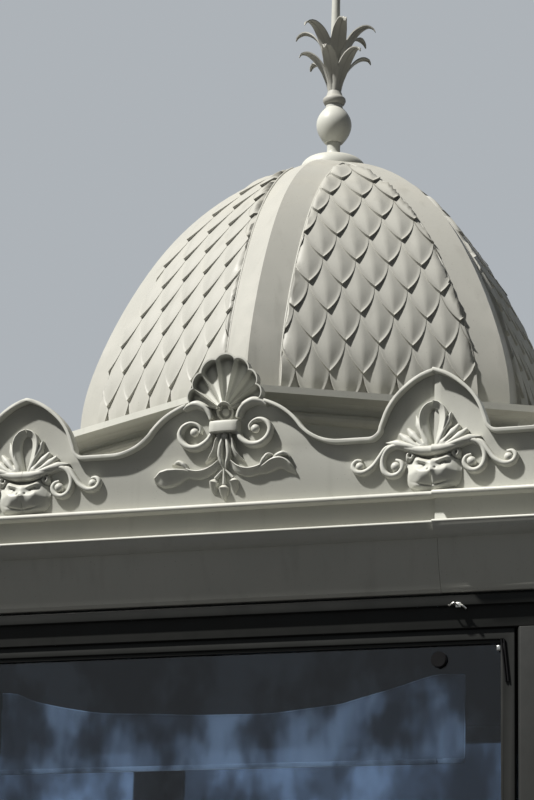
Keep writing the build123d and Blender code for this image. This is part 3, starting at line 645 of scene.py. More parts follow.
class KIOSK_OT_finishes(Operator):
    """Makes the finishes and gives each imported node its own."""

    bl_idname = "kiosk.finishes"
    bl_label = "Finishes"

    def execute(self, context):
        paint = context.scene.kiosk_paint
        weathering()
        # Its dust share is partly real dust and partly painted shade on the upward faces
        metal_paint("Grey satin paint", paint.grey, (0.3, 0.15, 0.35, 0.42))
        # The dome, its scales and the finial leaves get the darker copy of the grey paint: painted
        # shade
        metal_paint("Grey paint with painted dome shade", paint.dome, (0.25, 0.15, 0.45, 0.46))
        metal_paint("Charcoal paint", paint.charcoal, (0.1, 0.05, 0.3, 0.42), sheen=0.12,
                    worn=(0.05, 0.048, 0.044))
        metal_paint("Pale hem", (0.75, 0.78, 0.8), (0.1, 0.1, 0.3, 0.7), bump=0.0002)
        metal_paint("Plinth paint", paint.plinth, (0.25, 0.2, 0.6, 0.55), bump=0.001,
                    worn=(0.08, 0.07, 0.06))
        metal_paint("Zinc sheet", (0.3, 0.31, 0.32), (0.6, 0.2, 0.6, 0.5), metallic=0.75)
        metal_paint("Worn floor sheet", (0.16, 0.15, 0.13), (0.5, 0.3, 0.2, 0.7), bump=0.0012)
        metal_paint("Black fittings", (0.012, 0.012, 0.013), (0.05, 0.05, 0.1, 0.4), sheen=0.03,
                    worn=(0.04, 0.038, 0.036))
        metal_paint("Bright steel", (0.5, 0.5, 0.48), (0.2, 0.4, 0.2, 0.3), metallic=1.0)
        dark_glass("Dark window glass", tuple(paint.glass))
        frosted_film("Frosted film")
        given = {
            "plinth": "Plinth paint", "floor_panel": "Worn floor sheet",
            "roof_deck": "Zinc sheet", "flap_fixings": "Black fittings",
            "door_handle": "Black fittings", "dome_shell": "Grey paint with painted dome shade",
        }
        body = ("posts", "risers", "frames", "frame", "leaf", "panels", "beam", "lip", "counter")
        for name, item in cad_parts.items():
            chosen = given.get(name)
            if chosen is None:
                ends = name.split("_")[-1]
                chosen = "Charcoal paint" if ends in body else "Grey satin paint"
                if ends == "glass":
                    chosen = "Dark window glass"
            item.data.materials.clear()
            item.data.materials.append(bpy.data.materials[chosen])
        return {"FINISHED"}


class KIOSK_OT_crest(Operator):
    """Makes the crest with softly rounded rims, and the cornice flush across its seam."""

    bl_idname = "kiosk.crest"
    bl_label = "Crest"

    def execute(self, context):
        edge = context.scene.kiosk_crest.edge
        cornice_edge = 0.0006
        for name in ("front_left", "front_right", "back_left", "back_right", "left_end",
                     "right_end"):
            softened(f"crest_{name}_rounded", [f"crest_{name}"], edge, "Grey satin paint",
                     reshape=raised_edge)
        for side in ("front", "back"):
            softened(f"cornice_{side}_right_flush", [f"cornice_{side}_right"], cornice_edge,
                     "Grey satin paint", reshape=flush_face(side))
        return {"FINISHED"}


def shell_fan(out):
    """Scalloped fan of deep flutes between sharp ribs, inside a thin turned-out edge."""
    lobes, steps = 7, 12
    foot_angle = 16
    step = (180 - 2 * foot_angle) / lobes
    # Reach to the side and upward, and how far the edge draws in between two lobes
    reach, notch = np.array((106, 154)), 9
    # The flutes run from the eye to the edge, which starts to turn out at turn_out
    eye, turn_out, turned_out = 0.12, 0.95, 0.965
    shares = np.array((0, 0.1, 0.22, 0.36, 0.5, 0.64, 0.76, 0.86, 0.92, turn_out, turned_out,
                       0.978, 1))
    grid = np.zeros((len(shares), lobes * steps + 1, 3))
    for column in range(lobes * steps + 1):
        angle = math.radians(foot_angle + column * step / steps)
        s = 2 * (column % steps) / steps - 1
        bulge = 1 - abs(s) ** 2.4
        wide, tall = reach - notch * (1 - bulge)
        full = 1 / math.hypot(math.cos(angle) / wide, math.sin(angle) / tall)
        rib = abs(s) ** 4.5
        for row, share in enumerate(shares):
            radius = eye + (1 - eye) * share
            floor = 2.5 + 20 * (1 - share) ** 2.2
            crown = out + 2.5 * math.sin(math.pi * min(share / 0.9, 1))
            height = floor + (crown - floor) * rib
            if share >= turned_out:
                height = out
            elif share >= turn_out:
                height = max(height, 0.72 * out)
            grid[row, column] = (full * radius * math.cos(angle), height,
                                 SHELL_CENTRE + full * radius * math.sin(angle))
    return slab(grid)


def boss():
    """Round boss with a sunk face and a small button in it."""
    profile = ((23, -0.5), (23, 27), (21.5, 29), (19.5, 28), (17.5, 24), (16, 15), (10, 13),
               (9, 15), (5, 17), (0.5, 17.5))
    around = 36
    # Its face looks downward, so the upper edge stands further out than the lower one
    middle, tilt = 0.62, 0.022
    points = []
    for radius, out in profile:
        for turn in circle(around):
            up = radius * math.sin(turn)
            points.append((radius * math.cos(turn), out * (middle + tilt * up), SHELL_CENTRE + up))
    return capped(np.array(points) * MM, len(profile), around)


def clasp():
    """Convex strap whose ends return to the panel."""
    course = ((-39, 3), (-39, 21), (-38, 26), (-35, 29), (-22, 31.5), (0, 33), (22, 31.5), (35, 29),
              (38, 26), (39, 21), (39, 3))
    dips = ((185, 4), (187, 1), (191, 0.3), (197, 0), (204, 0), (210, 0.5), (213, 1.5), (215, 4))
    return slab(np.array([[(x, out - dip, z) for z, dip in dips] for x, out in course], float))


def shell_parts(out):
    """The whole shell ornament as a list of parts, in mm about the foot of its panel."""
    found = [shell_fan(out / MM), boss(), clasp(), ball(0, 177, 12, 9)]
    half = [
        strand([(112, 252), (98, 261), (76, 265), (52, 253), (40, 235), (36, 222)],
               (8, 16, 21, 19, 16, 13), (23, 27, 29, 30, 29, 26)),
        strand([(34, 185), (46, 166), (68, 152), (94, 152), (114, 166), (122, 187), (114, 206),
                (96, 216), (78, 213), (66, 201), (68, 189)],
               (12, 15, 17, 17, 16, 15, 14, 13, 11, 9, 8),
               (22, 24, 25, 25, 25, 24, 23, 22, 20, 18, 16), count=44),
        ball(82, 191, 12, 11.5),
        strand([(10, 185), (17, 163), (22, 141), (34, 123), (52, 110)],
               (8, 15, 17, 14, 3), (20, 23, 22, 19, 8), SLOPED),
        strand([(5, 172), (10, 150), (12, 126), (6, 104), (1, 88)], (7, 12, 13, 11, 3),
               (20, 23, 22, 18, 8), ROUND),
        strand([(12, 112), (34, 90), (62, 80), (92, 84), (120, 100), (142, 110)],
               (10, 19, 22, 21, 17, 6), (16, 20, 22, 22, 20, 12), SLOPED, 32),
        strand([(4, 88), (14, 78), (24, 68)], (6, 7, 8), (14, 13, 13)),
        strand([(24, 68), (27, 57), (28, 43), (27, 27)], (7, 23, 21, 15, 2), (8, 23, 15, 8, 1),
               ROUND, 24),
    ]
    found += half + [mirrored(each) for each in half]
    found.append(strand([(0, 92), (0, 72), (0, 52)], (7, 8, 9), (14, 13, 13)))
    found.append(strand([(0, 52), (0, 41), (0, 27), (0, 9)], (7, 25, 22, 15, 2),
                        (8, 24, 16, 8, 1), ROUND, 24))
    found += [
        # The right spray runs out to a point, with two leaf curls on it
        strand([(84, 78), (112, 86), (140, 98), (160, 96), (176, 82), (190, 69)],
               (8, 22, 28, 28, 22, 4), (14, 20, 25, 25, 20, 6), SLOPED, 30),
        strand([(98, 95), (110, 111), (120, 121), (131, 120)], (8, 13, 12, 4), (20, 25, 25, 17)),
        strand([(128, 104), (146, 118), (162, 122), (174, 114)], (8, 14, 13, 4),
               (18, 24, 24, 15)),
        # The left spray ends in a big round club that looks downward
        strand([(-84, 84), (-108, 83), (-132, 78), (-156, 74), (-174, 72), (-188, 71)],
               (10, 24, 38, 46, 42, 14), (16, 22, 27, 29, 27, 14), UNDERCUT, 34),
        strand([(-98, 95), (-110, 109), (-122, 114), (-134, 108)], (8, 13, 12, 4),
               (20, 25, 25, 17)),
    ]
    return found


class KIOSK_OT_shells(Operator):
    """Makes the scallop shells with clasp, scrolls, husk, sprays and drops."""

    bl_idname = "kiosk.shells"
    bl_label = "Shells"

    def execute(self, context):
        parts = shell_parts(context.scene.kiosk_crest.shell_out)
        for name, sides, node_name in (("shells_front", ("front",), "front_shells"),
                                       ("shells_back", ("back",), "back_shells"),
                                       ("shells_ends", ("left", "right"), "end_shells")):
            whole = Gathered()
            for side in sides:
                half, modules = SIDES[side][2:]
                module = 2 * half / modules
                for index in range(modules):
                    x = -half + (index + 0.5) * module
                    proud = side in ("front", "back") and x > SEAM_AT
                    for part in parts:
                        whole.add(part, on_panel(side, x, proud))
            make_piece(name, whole, "Grey satin paint", (node_name,), 38)
        return {"FINISHED"}


def bump(x, z, across, up, width, height):
    """A soft round swelling about a place."""
    return np.exp(-((x - across) / width) ** 2 - ((z - up) / height) ** 2)


def soft_min(a, b, blend):
    """The smaller of two heights, with the crease where they meet rounded over blend."""
    h = max(blend - abs(a - b), 0) / blend
    return min(a, b) - h * h * blend / 4


def half_face():
    """Half of the animal's face, from its middle line out, as a closed relief."""
    half_width = 73
    top_x, top = (0, 14, 28, 42, 52, 60, 68, 73), (81, 83, 87, 95, 101, 106, 105, 98)
    foot_x, foot = (0, 20, 40, 55, 64, 70, 73), (2, 3, 6, 10, 16, 28, 50)
    eye_x, eye_z, slant = 30, 65, math.radians(18)
    nose_z = 46
    columns, rows = 44, 48
    grid = np.zeros((rows, columns, 3))
    for c in range(columns):
        x = half_width * c / (columns - 1)
        low, high = np.interp(x, foot_x, foot), np.interp(x, top_x, top)
        for r in range(rows):
            v = r / (rows - 1)
            z = low + (high - low) * v
            # Undercut muzzle, cheek that narrows downward, and the face that slopes back
            muzzle = 10 + 0.66 * (z - 2)
            cheek = 32 + 0.35 * (z - nose_z) - 0.65 * (x - 38)
            over = 37 - 0.33 * max(0, z - nose_z) - 0.0015 * x * x - 0.7 * max(0, x - 38)
            out = soft_min(soft_min(muzzle, cheek, 5), over, 4)
            # Nose with its nostril, and the bridge above it
            out += 4 * bump(x, z, 0, nose_z + 3, 9, 6)
            out -= 4 * bump(x, z, 11, nose_z + 7, 3.5, 3)
            out += 4 * bump(x, z, 0, 68, 9, 18)
            # Two muzzle pads with a groove between them over the mouth
            out += 3 * bump(x, z, 22, 29, 14, 11)
            out -= 5 * bump(x, z, 0, 26, 2.5, 14)
            out -= 4 * bump(x, z, 18, 15 + 0.004 * x * x, 24, 2.5)
            # Eye in its socket under a brow, its outer corner higher
            u = (x - eye_x) * math.cos(slant) + (z - eye_z) * math.sin(slant)
            w = (z - eye_z) * math.cos(slant) - (x - eye_x) * math.sin(slant)
            out -= 12 * bump(u, w, 0, 0, 13, 7)
            out += 8 * bump(u, w, 0, -1, 6, 4.5)
            out -= 3 * bump(u, w, 0, -1, 1.8, 1.8)
            out += 6 * bump(u, w, 2, 10.5, 16, 4)
            # Ear round its dark hole
            out = max(out, 26 - 0.07 * ((x - 61) ** 2 + (z - 96) ** 2))
            out -= 20 * bump(x, z, 60, 95, 4.5, 6)
            # Towards its outline the face falls to about a third of its height
            near = min(v, 1 - v) * (high - low)
            fall = min(1, math.sqrt(max(near, 0) / 9))
            fall *= min(1, math.sqrt(max(half_width - x, 0) / 10))
            out = 3 + (out - 3) * (0.3 + 0.7 * fall)
            grid[r, c] = (x, min(out, 40), z)
    return slab(grid)


def half_mask_parts():
    """Half of a mask under its palmette, in mm, from the middle line out."""
    return [
        half_face(),
        # The loop slopes inward from its outer rim, like a pointed niche
        strand([(0.5, 222), (13, 217), (23, 203), (26, 183), (22, 156), (13, 124), (4, 98)],
               (16, 20, 22, 22, 20, 16, 8), (22, 23, 24, 24, 23, 21, 17), SLOPED, 34),
        # Fleshy leaves that touch at root and tip and leave oval hollows between them
        strand([(9, 100), (19, 126), (30, 152), (38, 174), (46, 197)], (12, 17, 13, 21, 3),
               (22, 25, 24, 20, 13), ROUND, 30),
        strand([(11, 98), (28, 119), (43, 136), (56, 150), (67, 164)], (12, 18, 13, 21, 9),
               (22, 26, 25, 21, 15), ROUND, 30),
        strand([(12, 96), (36, 112), (56, 126), (73, 139), (88, 152)], (12, 18, 14, 22, 10),
               (22, 26, 25, 21, 15), ROUND, 30),
        strand([(12, 98), (38, 109), (66, 119), (94, 127), (123, 131)], (16, 20, 17, 23, 3),
               (24, 27, 26, 22, 14), ROUND, 30),
        strand([(22, 104), (29, 117), (38, 131)], (22, 36, 22), (26, 26, 20), ROUND, 16),
        strand([(0.5, 104), (20, 104), (44, 108), (70, 115), (96, 122)], (26, 26, 22, 16, 6),
               (30, 30, 27, 22, 12), ROUND, 28),
        strand([(66, 110), (98, 122), (122, 110), (132, 84), (127, 58), (110, 46), (91, 50),
                (80, 66), (85, 81), (98, 86)],
               (10, 13, 14, 13, 14, 15, 15, 14, 13, 9), (18, 20, 20, 19, 19, 20, 20, 19, 18, 14),
               count=46),
        ball(98, 69, 9, 12.5),
        strand([(100, 122), (122, 118), (140, 94), (157, 72), (180, 59), (201, 63), (209, 78),
                (200, 90), (187, 89)],
               (9, 12, 13, 13, 14, 15, 14, 12, 9), (16, 18, 19, 19, 20, 20, 18, 16, 13), count=42),
        ball(191, 75, 8, 11.5),
    ]


class KIOSK_OT_masks(Operator):
    """Makes the animal masks under their palmettes, folded round the corners."""

    bl_idname = "kiosk.masks"
    bl_label = "Masks"

    def execute(self, context):
        right_half = half_mask_parts()
        left_half = [mirrored(each) for each in right_half]
        near = 0.01
        for name, sides, node_name in (("masks_front", ("front",), "front_masks"),
                                       ("masks_back", ("back",), "back_masks"),
                                       ("masks_ends", ("left", "right"), "end_masks")):
            whole = Gathered()
            for side in sides:
                half, modules = SIDES[side][2:]
                long_side = side in ("front", "back")
                for index in range(modules + 1):
                    x = -half + index * 2 * half / modules
                    if index in (0, modules):
                        for part in right_half:
                            whole.add(part, round_corner(side, index == modules))
                        continue
                    # The seam runs down the middle of its mask, so only the right half is proud
                    for part in left_half:
                        whole.add(part, on_panel(side, x, long_side and x > SEAM_AT + near))
                    for part in right_half:
                        whole.add(part, on_panel(side, x, long_side and x > SEAM_AT - near))
            make_piece(name, whole, "Grey satin paint", (node_name,), 38)
        return {"FINISHED"}


class DomeFace:
    """The outline of the dome's flat-across face: how far out it is at each height."""

    def __init__(self):
        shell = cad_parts["dome_shell"].data
        tree = BVHTree.FromPolygons([v.co.copy() for v in shell.vertices],
                                    [tuple(p.vertices) for p in shell.polygons])
        low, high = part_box("dome_shell")
        line = []
        # Rays come from outside the dome, a little beside the face's middle line
        outside, beside = 1.2, 0.004
        for z in np.linspace(low.z + 0.001, high.z - 0.03, 90):
            hit = tree.ray_cast(Vector((outside, beside, float(z))), Vector((-1, 0, 0)))[0]
            if hit is not None:
                line.append((hit.x, z))
        self.line = np.array(line)
        self.run = run_along(self.line)
        self.length = self.run[-1]
        self.last = self.length - 0.01

    def at(self, along):
        """Distance out, height, and the two parts of the outward direction."""
        step = 0.02
        along = min(max(along, 0), self.length)
        a, z = (np.interp(along, self.run, self.line[:, k]) for k in (0, 1))
        a0, z0 = (np.interp(along - step, self.run, self.line[:, k]) for k in (0, 1))
        a1, z1 = (np.interp(along + step, self.run, self.line[:, k]) for k in (0, 1))
        size = math.hypot(a1 - a0, z1 - z0)
        return a, z, (z1 - z0) / size, (a0 - a1) / size

    def limit(self, along, band):
        """How far the scales reach from the face's middle, short of the band beside its hip."""
        return self.at(along)[0] * HALF_FACE - band

    def point(self, turn, across, along, out):
        """A place on or off the face that is turned about the dome's axis."""
        a, z, out_a, out_z = self.at(along)
        a += out * out_a
        c, s = math.cos(turn), math.sin(turn)
        return (a * c - across * s, a * s + across * c, z + out * out_z)


def scale_points(face, turn, middle, foot, dome):
    """One pointed scale: raised lip along its lower edges and a soft ridge down its middle."""
    half = dome.pitch / 2
    arc = (dome.point ** 2 + half ** 2) / dome.pitch
    # What runs on under the next row, and what laps over the neighbour in the same row
    under, lap = 0.012, 0.0006
    length = dome.row + dome.point + under
    lip_height, lip_width, lip_end = 0.005, 0.005, 0.62
    ridge, flatter, trimmed, edge_depth = 0.0105, 0.86, 0.45, 0.003
    columns = np.array((-1, -0.95, -0.86, -0.74, -0.45, -0.18, 0, 0.18, 0.45, 0.74, 0.86, 0.95, 1))
    rows = np.array((0.0, 0.02, 0.05, 0.1, 0.17, 0.25, 0.34, 0.43, 0.55, 0.75, 1.0))
    # A scale of the lowest row starts at the dome's foot, part of the way up its own length
    start = max(0, -foot / length)
    top, edge = [], []
    for v in start + (1 - start) * rows:
        along = min(foot + v * length, face.last)
        share = min(1, v * length / dome.point)
        width = math.sqrt(arc ** 2 - (dome.point * (1 - share)) ** 2) - arc + half + lap
        limit = face.limit(along, dome.band)
        fade = max(0, 1 - v / lip_end)
        for x in columns:
            across = middle + x * width
            bound = min(max(across, -limit), limit)
            from_edge = width * (1 - abs(x))
            out = dome.lift * (1 - flatter * v)
            out += lip_height * math.exp(-(from_edge / lip_width) ** 2) * fade
            out += ridge * (1 - abs(x) ** 1.15) * min(1, share * 1.6) * (1 - 0.5 * v)
            if bound != across:
                out *= trimmed
            top.append(face.point(turn, bound, along, out))
            edge.append(face.point(turn, bound, along, -edge_depth))
    wide = len(columns)
    count = len(rows) * wide
    faces = grid_faces(len(rows), wide)
    # The underside stays open, and walls run down from the left, right, first and last lines
    for line in (range(0, count, wide), range(wide - 1, count, wide), range(wide),
                 range(count - wide, count)):
        for a, b in zip(line, line[1:]):
            faces.append((a, count + a, count + b, b))
    return np.array(top + edge), faces


class KIOSK_OT_dome(Operator):
    """Covers the dome's faces with scales and edges its smooth hip bands with a bead."""

    bl_idname = "kiosk.dome"
    bl_label = "Dome scales"

    def execute(self, context):
        dome = context.scene.kiosk_dome
        face = DomeFace()
        scales, beads = Gathered(), Gathered()
        # The lowest row starts below the dome's foot, which cuts its tips off, and no row starts
        # nearer to the top than top_gap
        first_foot, top_gap = -0.035, 0.1
        # How much of a scale must lie inside the band, and how far a face with scales must reach
        least_scale, least_reach = 0.008, 0.02
        bead_start, bead_out, bead_radius = 0.004, 0.0045, 0.0035
        for number in range(6):
            turn = math.radians(60 * number)
            row = 0
            foot = first_foot
            while foot < face.length - top_gap:
                shift = dome.pitch / 2 if row % 2 else 0
                widest = face.limit(foot, dome.band)
                reach = int(widest / dome.pitch) + 2
                for index in range(-reach, reach + 1):
                    middle = index * dome.pitch + shift
                    shows = abs(middle) - dome.pitch / 2 < widest - least_scale
                    if shows and widest > least_reach:
                        scales.add(scale_points(face, turn, middle, foot, dome))
                foot += dome.row
                row += 1
            for sign in (-1, 1):
                line = []
                for along in np.linspace(bead_start, face.last, 40):
                    limit = face.limit(along, dome.band)
                    if limit > bead_start:
                        line.append(face.point(turn, sign * limit, along, bead_out))
                beads.add(rod(line, bead_radius, 10, 60))
        make_piece("dome_scales", scales, "Grey paint with painted dome shade", (), 50)
        make_piece("dome_hip_beads", beads, "Grey paint with painted dome shade", ())
        return {"FINISHED"}


def plume_leaf(spine, width, turn, foot):
    """A leaf that rises beside the stem and rolls outward, ridged along its middle."""
    count = 26
    thickness = 3.4
    # Where it is less than this wide from middle to edge, the leaf is thinner too
    full_width = 0.006
    line = smooth_path(spine, count) * MM
    upper = ((-1, 2.2), (-0.7, 0.6), (-0.3, 0.4), (0, 2.6), (0.3, 0.4), (0.7, 0.6), (1, 2.2))
    section = upper + tuple((a, b - thickness) for a, b in reversed(upper))
    c, s = math.cos(turn), math.sin(turn)
    points = []
    for (r, z), (ar, az), w in zip(line, directions(line), spread(width, count) * MM / 2):
        thin = min(1, w / full_width)
        for a, b in section:
            out = b * MM * thin
            radius = r - az * out
            height = foot + z + ar * out
            points.append((radius * c - a * w * s, radius * s + a * w * c, height))
    return capped(points, count, len(section))


class KIOSK_OT_finial(Operator):
    """Makes the collar and stem with two tiers of rolled leaves."""

    bl_idname = "kiosk.finial"
    bl_label = "Finial leaves"

    def execute(self, context):
        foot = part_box("finial_plume")[0].z
        collar = ((0.022, 0), (0.030, 0.006), (0.034, 0.015), (0.033, 0.022), (0.026, 0.029),
                  (0.024, 0.031), (0.022, 0.04), (0.016, 0.052), (0.014, 0.06))
        stem = (0.014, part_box("finial_spire")[0].z + 0.001)
        whole = Gathered()
        whole.add(turned([(radius, foot + up) for radius, up in collar] + [stem]))
        leaf_foot = foot + 0.04
        upper = [(15, 0), (17, 50), (22, 98), (38, 148), (64, 186), (94, 203), (116, 196),
                 (124, 182)]
        lower = [(15, 0), (22, 36), (36, 72), (58, 102), (82, 118), (102, 116), (109, 103)]
        for index in range(6):
            turn = math.radians(60 * index)
            whole.add(plume_leaf(upper, (18, 28, 42, 50, 48, 42, 26, 4), turn, leaf_foot))
            whole.add(plume_leaf(lower, (16, 28, 40, 44, 40, 26, 4), turn + math.radians(30),
                                 leaf_foot))
        make_piece("finial_leaves", whole, "Grey paint with painted dome shade", ("finial_plume",))
        return {"FINISHED"}


class KIOSK_OT_body(Operator):
    """Makes the body's posts, beams, stall panels and counter with rounded edges."""

    bl_idname = "kiosk.body"
    bl_label = "Body"

    def execute(self, context):
        for name, nodes, edge in (
                ("posts_rounded", ["corner_posts", "front_posts", "back_posts"], 0.002),
                ("head_beam_rounded", ["head_beam"], 0.002),
                ("soffit_lip_rounded", ["soffit_lip"], 0.002),
                ("stall_panels", ["front_risers", "back_risers", "right_risers"], 0.003),
                ("side_panels", ["door_side_panels"], 0.003),
                ("counter_rounded", ["counter"], 0.003),
                ("window_frames_front", ["front_window_frames"], 0.0025),
                ("window_frames_back", ["back_window_frames"], 0.0025),
                ("window_frames_right", ["right_window_frames"], 0.0025),
                ("flap_frame_rounded", ["flap_frame"], 0.0025),
                ("door_frame_rounded", ["door_frame"], 0.0025),
                ("door_leaf_rounded", ["door_leaf"], 0.0025)):
            softened(name, nodes, edge, "Charcoal paint")
        softened("plinth_rounded", ["plinth"], 0.005, "Plinth paint")
        return {"FINISHED"}


class KIOSK_OT_windows(Operator):
    """Makes the glazing beads, stay rods, stop and the plain film behind the flap's glass."""

    bl_idname = "kiosk.windows"
    bl_label = "Window fittings"

    def execute(self, context):
        self.glazing_beads()
        glass_low, glass_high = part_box("flap_glass")
        rods, nubs = Gathered(), Gathered()
        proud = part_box("flap_frame")[0].y - 0.003
        rod_top, rod_foot, slant = glass_high.z - 0.002, glass_high.z - 0.106, 0.011
        apart, rod_radius = 0.0065, 0.0026
        nub_half, nub_near, nub_far = 0.0055, glass_low.y - 0.012, glass_low.y - 0.0005
        nub_low, nub_high = glass_high.z - 0.028, glass_high.z - 0.014
        for sign in (-1, 1):
            for shift in (0, apart):
                x = sign * (glass_high.x + 0.002 - shift)
                rods.add(rod([(x, proud, rod_top), (x + slant, proud, rod_foot)], rod_radius))
            x = sign * (glass_high.x - 0.014)
            nubs.add(bar((x - nub_half, nub_near, nub_low), (x + nub_half, nub_far, nub_high), 0.003))
        make_piece("stay_rods", rods, "Black fittings")
        make_piece("stay_nubs", nubs, "Bright steel")
        # The photograph shows the round stop on the right of the glass only
        stop = Gathered()
        low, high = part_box("flap_fixings")
        x, z = high.x - 0.028, (low.z + high.z) / 2 - 0.012
        for radius, out in ((0.020, low.y + 0.0015), (0.0175, low.y)):
            stop.add(rod([(x, high.y, z), (x, out, z)], radius, 40, 6))
        make_piece("flap_stop", stop, "Black fittings", ("flap_fixings",))
        self.film(glass_high.y + 0.007)
        return {"FINISHED"}

    def glazing_beads(self):
        """Slim beads round the panes of the front."""
        wide, edge = 0.009, 0.002
        # Where the display windows begin beside the posts
        inner = 0.86
        beads = Gathered()
        for name in ("flap_glass", "front_window_glass"):
            low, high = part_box(name)
            spans = [(low.x, -inner), (inner, high.x)]
            if name == "flap_glass":
                spans = [(low.x, high.x)]
            near, far = low.y - 0.011, low.y - 0.0005
            for x0, x1 in spans:
                corners = [(x0, z, x1, z + wide) for z in (low.z, high.z - wide)]
                corners += [(x, low.z, x + wide, high.z) for x in (x0, x1 - wide)]
                for xa, za, xb, zb in corners:
                    beads.add(bar((xa, near, za), (xb, far, zb), edge))
        make_piece("glazing_beads", beads, "Charcoal paint")

    def film(self, y):
        """A plain drape-shaped film with a hemmed foot, hung behind the glass at y."""
        edge_x, edge_z = zip(*FILM_TOP)
        left, right = edge_x[0], edge_x[-1]
        columns, rows = 90, 18
        thickness, roll_radius = 0.0015, 0.0013
        # Folds fan out from beside and above the upper corners and die away toward the middle
        fold_depth, fold_count, fold_reach, above, beside = 0.004, 15, 0.35, 0.01, 0.03
        points = []
        for back in (0, thickness):
            for r in range(rows):
                for c in range(columns):
                    x = left + (right - left) * c / (columns - 1)
                    top = float(np.interp(x, edge_x, edge_z))
                    z = top + (FILM_FOOT - top) * r / (rows - 1)
                    nearer = min(x - left, right - x)
                    fan = math.atan2(edge_z[0] + above - z, nearer + beside)
                    fold = fold_depth * math.sin(fold_count * fan) * math.exp(-nearer / fold_reach)
                    points.append((x, y + fold + back, z))
        film = Gathered()
        film.add((np.array(points), double_faces(rows, columns)))
        hem = Gathered()
        # The edge is rolled along its top and down its right side
        for line in (range(columns), range(columns - 1, rows * columns, columns)):
            hem.add(rod([points[i] for i in (*line[::3], line[-1])], roll_radius, 8, 60))
        hem.add(bar((left, y - 0.003, FILM_FOOT - 0.001), (right, y + 0.004, FILM_FOOT + FILM_HEM),
                    0.0015))
        make_piece("frosted_film", film, "Frosted film")
        make_piece("film_hem", hem, "Pale hem")


class KIOSK_OT_small_parts(Operator):
    """Makes the door's hinges and lock, and the broken clip under the cornice."""

    bl_idname = "kiosk.small_parts"
    bl_label = "Small parts"

    def execute(self, context):
        low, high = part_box("door_leaf")
        hinges = Gathered()
        pin_x, pin_y = low.x - 0.006, low.y - 0.001
        from_end, barrel, cap = 0.2, 0.045, 0.004

        def pin(z, half, radius, count):
            """An upright length of a hinge about the height z."""
            line = [(pin_x, pin_y, z - half), (pin_x, pin_y, z + half)]
            hinges.add(rod(line, radius, 16, count))

        for z in (low.z + from_end, (low.z + high.z) / 2, high.z - from_end):
            pin(z, barrel, 0.0075, 10)
            for sign in (-1, 1):
                pin(z + sign * (barrel + cap), cap, 0.0055, 6)
        handle_low, handle_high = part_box("door_handle")
        lock_y, lock_z = handle_high.y - 0.016, handle_low.z + 0.038
        hinges.add(rod([(low.x - 0.011, lock_y, lock_z), (low.x + 0.002, lock_y, lock_z)],
                       0.0085, 20, 8))
        make_piece("door_hinges_and_lock", hinges, "Black fittings")
        # Two bent ends of wire and the stub that they come from, under the lip near the seam
        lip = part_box("soffit_lip")[0]
        at = np.array((0.567, lip.y, lip.z + 0.003))
        hook = ((0, 0.003, 0), (0.006, -0.008, -0.004), (0.018, -0.011, 0.002),
                (0.028, -0.004, -0.006))
        tail = ((0.03, 0.002, 0), (0.038, -0.010, -0.005), (0.047, -0.006, -0.013))
        clip = Gathered()
        clip.add(rod(at + np.array(hook), 0.0022, 8, 20))
        clip.add(rod(at + np.array(tail), 0.0026, 8, 16))
        clip.add(bar(at + (0.020, -0.006, -0.009), at + (0.034, 0.002, 0.004), 0.0015))
        make_piece("broken_clip", clip, "Bright steel")
        return {"FINISHED"}


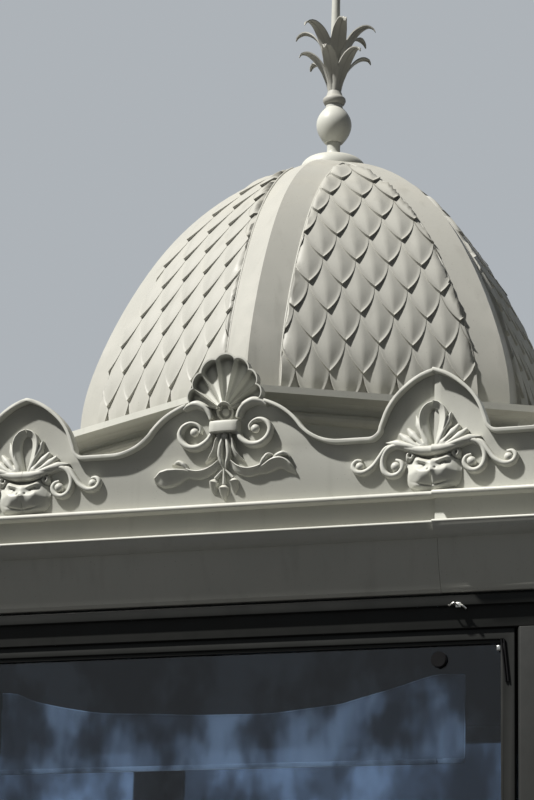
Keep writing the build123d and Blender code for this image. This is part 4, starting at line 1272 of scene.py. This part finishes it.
class KIOSK_OT_stage(Operator):
    """Makes the floor, the light and the camera."""

    bl_idname = "kiosk.stage"
    bl_label = "Stage"

    def execute(self, context):
        settings = context.scene.kiosk_stage
        scene = context.scene
        self.floor(scene)
        self.world(scene, settings.fill)
        self.key_light(scene, settings)
        self.camera(scene, settings.lens)
        scene.view_settings.view_transform = "Standard"
        return {"FINISHED"}

    def floor(self, scene):
        """A floor that is pale to the camera and throws little light up at the kiosk."""
        half_size = 30
        mesh = bpy.data.meshes.new("pale_floor")
        work = bmesh.new()
        bmesh.ops.create_grid(work, x_segments=8, y_segments=8, size=half_size)
        work.to_mesh(mesh)
        work.free()
        floor = bpy.data.objects.new("pale_floor", mesh)
        scene.collection.objects.link(floor)
        material, tree, shader = new_material("Pale floor")
        shader.inputs["Roughness"].default_value = 0.8
        view = node(tree, "LightPath").outputs["Is Camera Ray"]
        tree.links.new(blended(tree, view, FLOOR_LIT, FLOOR_SEEN), shader.inputs["Base Color"])
        mesh.materials.append(material)

    def world(self, scene, fill):
        """A soft fill light, and the background that camera, gloss and glass show instead."""
        world = bpy.data.worlds.new("Studio")
        scene.world = world
        world.use_nodes = True
        tree = world.node_tree
        tree.nodes.clear()
        path = node(tree, "LightPath")
        seen = maths(tree, "MAXIMUM", path.outputs["Is Camera Ray"],
                     maths(tree, "MAXIMUM", path.outputs["Is Glossy Ray"],
                           path.outputs["Is Transmission Ray"]))
        lit, shown = node(tree, "Background"), node(tree, "Background")
        lit.inputs["Color"].default_value = SKY_LIT
        lit.inputs["Strength"].default_value = fill
        shown.inputs["Color"].default_value = SKY_SEEN
        shown.inputs["Strength"].default_value = 1
        mix, out = node(tree, "MixShader"), node(tree, "OutputWorld")
        tree.links.new(seen, mix.inputs[0])
        tree.links.new(lit.outputs[0], mix.inputs[1])
        tree.links.new(shown.outputs[0], mix.inputs[2])
        tree.links.new(mix.outputs[0], out.inputs["Surface"])

    def key_light(self, scene, settings):
        """A warm key light from the upper left."""
        up, turn = settings.key_height, settings.key_turn
        travel = Vector((math.sin(turn) * math.cos(up), math.cos(turn) * math.cos(up),
                         -math.sin(up)))
        sun = bpy.data.lights.new("Key light", "SUN")
        sun.energy = settings.key
        sun.angle = math.radians(3)
        sun.color = (1.0, 0.975, 0.93)
        lamp = bpy.data.objects.new("Key light", sun)
        lamp.rotation_mode = "QUATERNION"
        lamp.rotation_quaternion = travel.to_track_quat("-Z", "Y")
        scene.collection.objects.link(lamp)

    def camera(self, scene, lens):
        """Stands where the photograph was taken, a little to the right and looking up."""
        yaw, pitch, roll = (math.radians(angle) for angle in CAMERA_TURNS)
        ahead = Vector((-math.sin(yaw) * math.cos(pitch), math.cos(yaw) * math.cos(pitch),
                        math.sin(pitch)))
        level = Vector((math.cos(yaw), math.sin(yaw), 0))
        rise = level.cross(ahead)
        right = level * math.cos(roll) + rise * math.sin(roll)
        above = rise * math.cos(roll) - level * math.sin(roll)
        data = bpy.data.cameras.new("Camera")
        data.lens = lens
        data.sensor_width = 36
        data.clip_end = 200
        camera = bpy.data.objects.new("Camera", data)
        turn = Matrix((right, above, -ahead)).transposed().to_4x4()
        camera.matrix_world = Matrix.Translation(CAMERA_AT) @ turn
        scene.collection.objects.link(camera)
        scene.camera = camera


STEPS = (KIOSK_OT_finishes, KIOSK_OT_crest, KIOSK_OT_shells, KIOSK_OT_masks, KIOSK_OT_dome,
         KIOSK_OT_finial, KIOSK_OT_body, KIOSK_OT_windows, KIOSK_OT_small_parts, KIOSK_OT_stage)


class KIOSK_PT_panel(Panel):
    """Lists the kiosk's steps and settings."""

    bl_label = "Street kiosk"
    bl_idname = "KIOSK_PT_panel"
    bl_space_type = "VIEW_3D"
    bl_region_type = "UI"
    bl_category = "Kiosk"

    def draw(self, context):
        layout = self.layout
        for step in STEPS:
            layout.operator(step.bl_idname)
        for settings in (context.scene.kiosk_paint, context.scene.kiosk_dome,
                         context.scene.kiosk_crest, context.scene.kiosk_stage):
            for name in settings.__annotations__:
                layout.prop(settings, name)


SETTINGS = (("kiosk_paint", KioskPaint), ("kiosk_dome", KioskDome), ("kiosk_crest", KioskCrest),
            ("kiosk_stage", KioskStage))


def register():
    """Adds the settings, the steps and the panel."""
    for name, kind in SETTINGS:
        bpy.utils.register_class(kind)
        setattr(bpy.types.Scene, name, PointerProperty(type=kind))
    for kind in (*STEPS, KIOSK_PT_panel):
        bpy.utils.register_class(kind)


def unregister():
    """Takes them away again."""
    for kind in reversed((*STEPS, KIOSK_PT_panel)):
        bpy.utils.unregister_class(kind)
    for name, kind in reversed(SETTINGS):
        delattr(bpy.types.Scene, name)
        bpy.utils.unregister_class(kind)


def main():
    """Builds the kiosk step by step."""
    register()
    bpy.ops.kiosk.finishes()
    bpy.ops.kiosk.crest()
    bpy.ops.kiosk.shells()
    bpy.ops.kiosk.masks()
    bpy.ops.kiosk.dome()
    bpy.ops.kiosk.finial()
    bpy.ops.kiosk.body()
    bpy.ops.kiosk.windows()
    bpy.ops.kiosk.small_parts()
    bpy.ops.kiosk.stage()


if __name__ == "__main__":
    main()
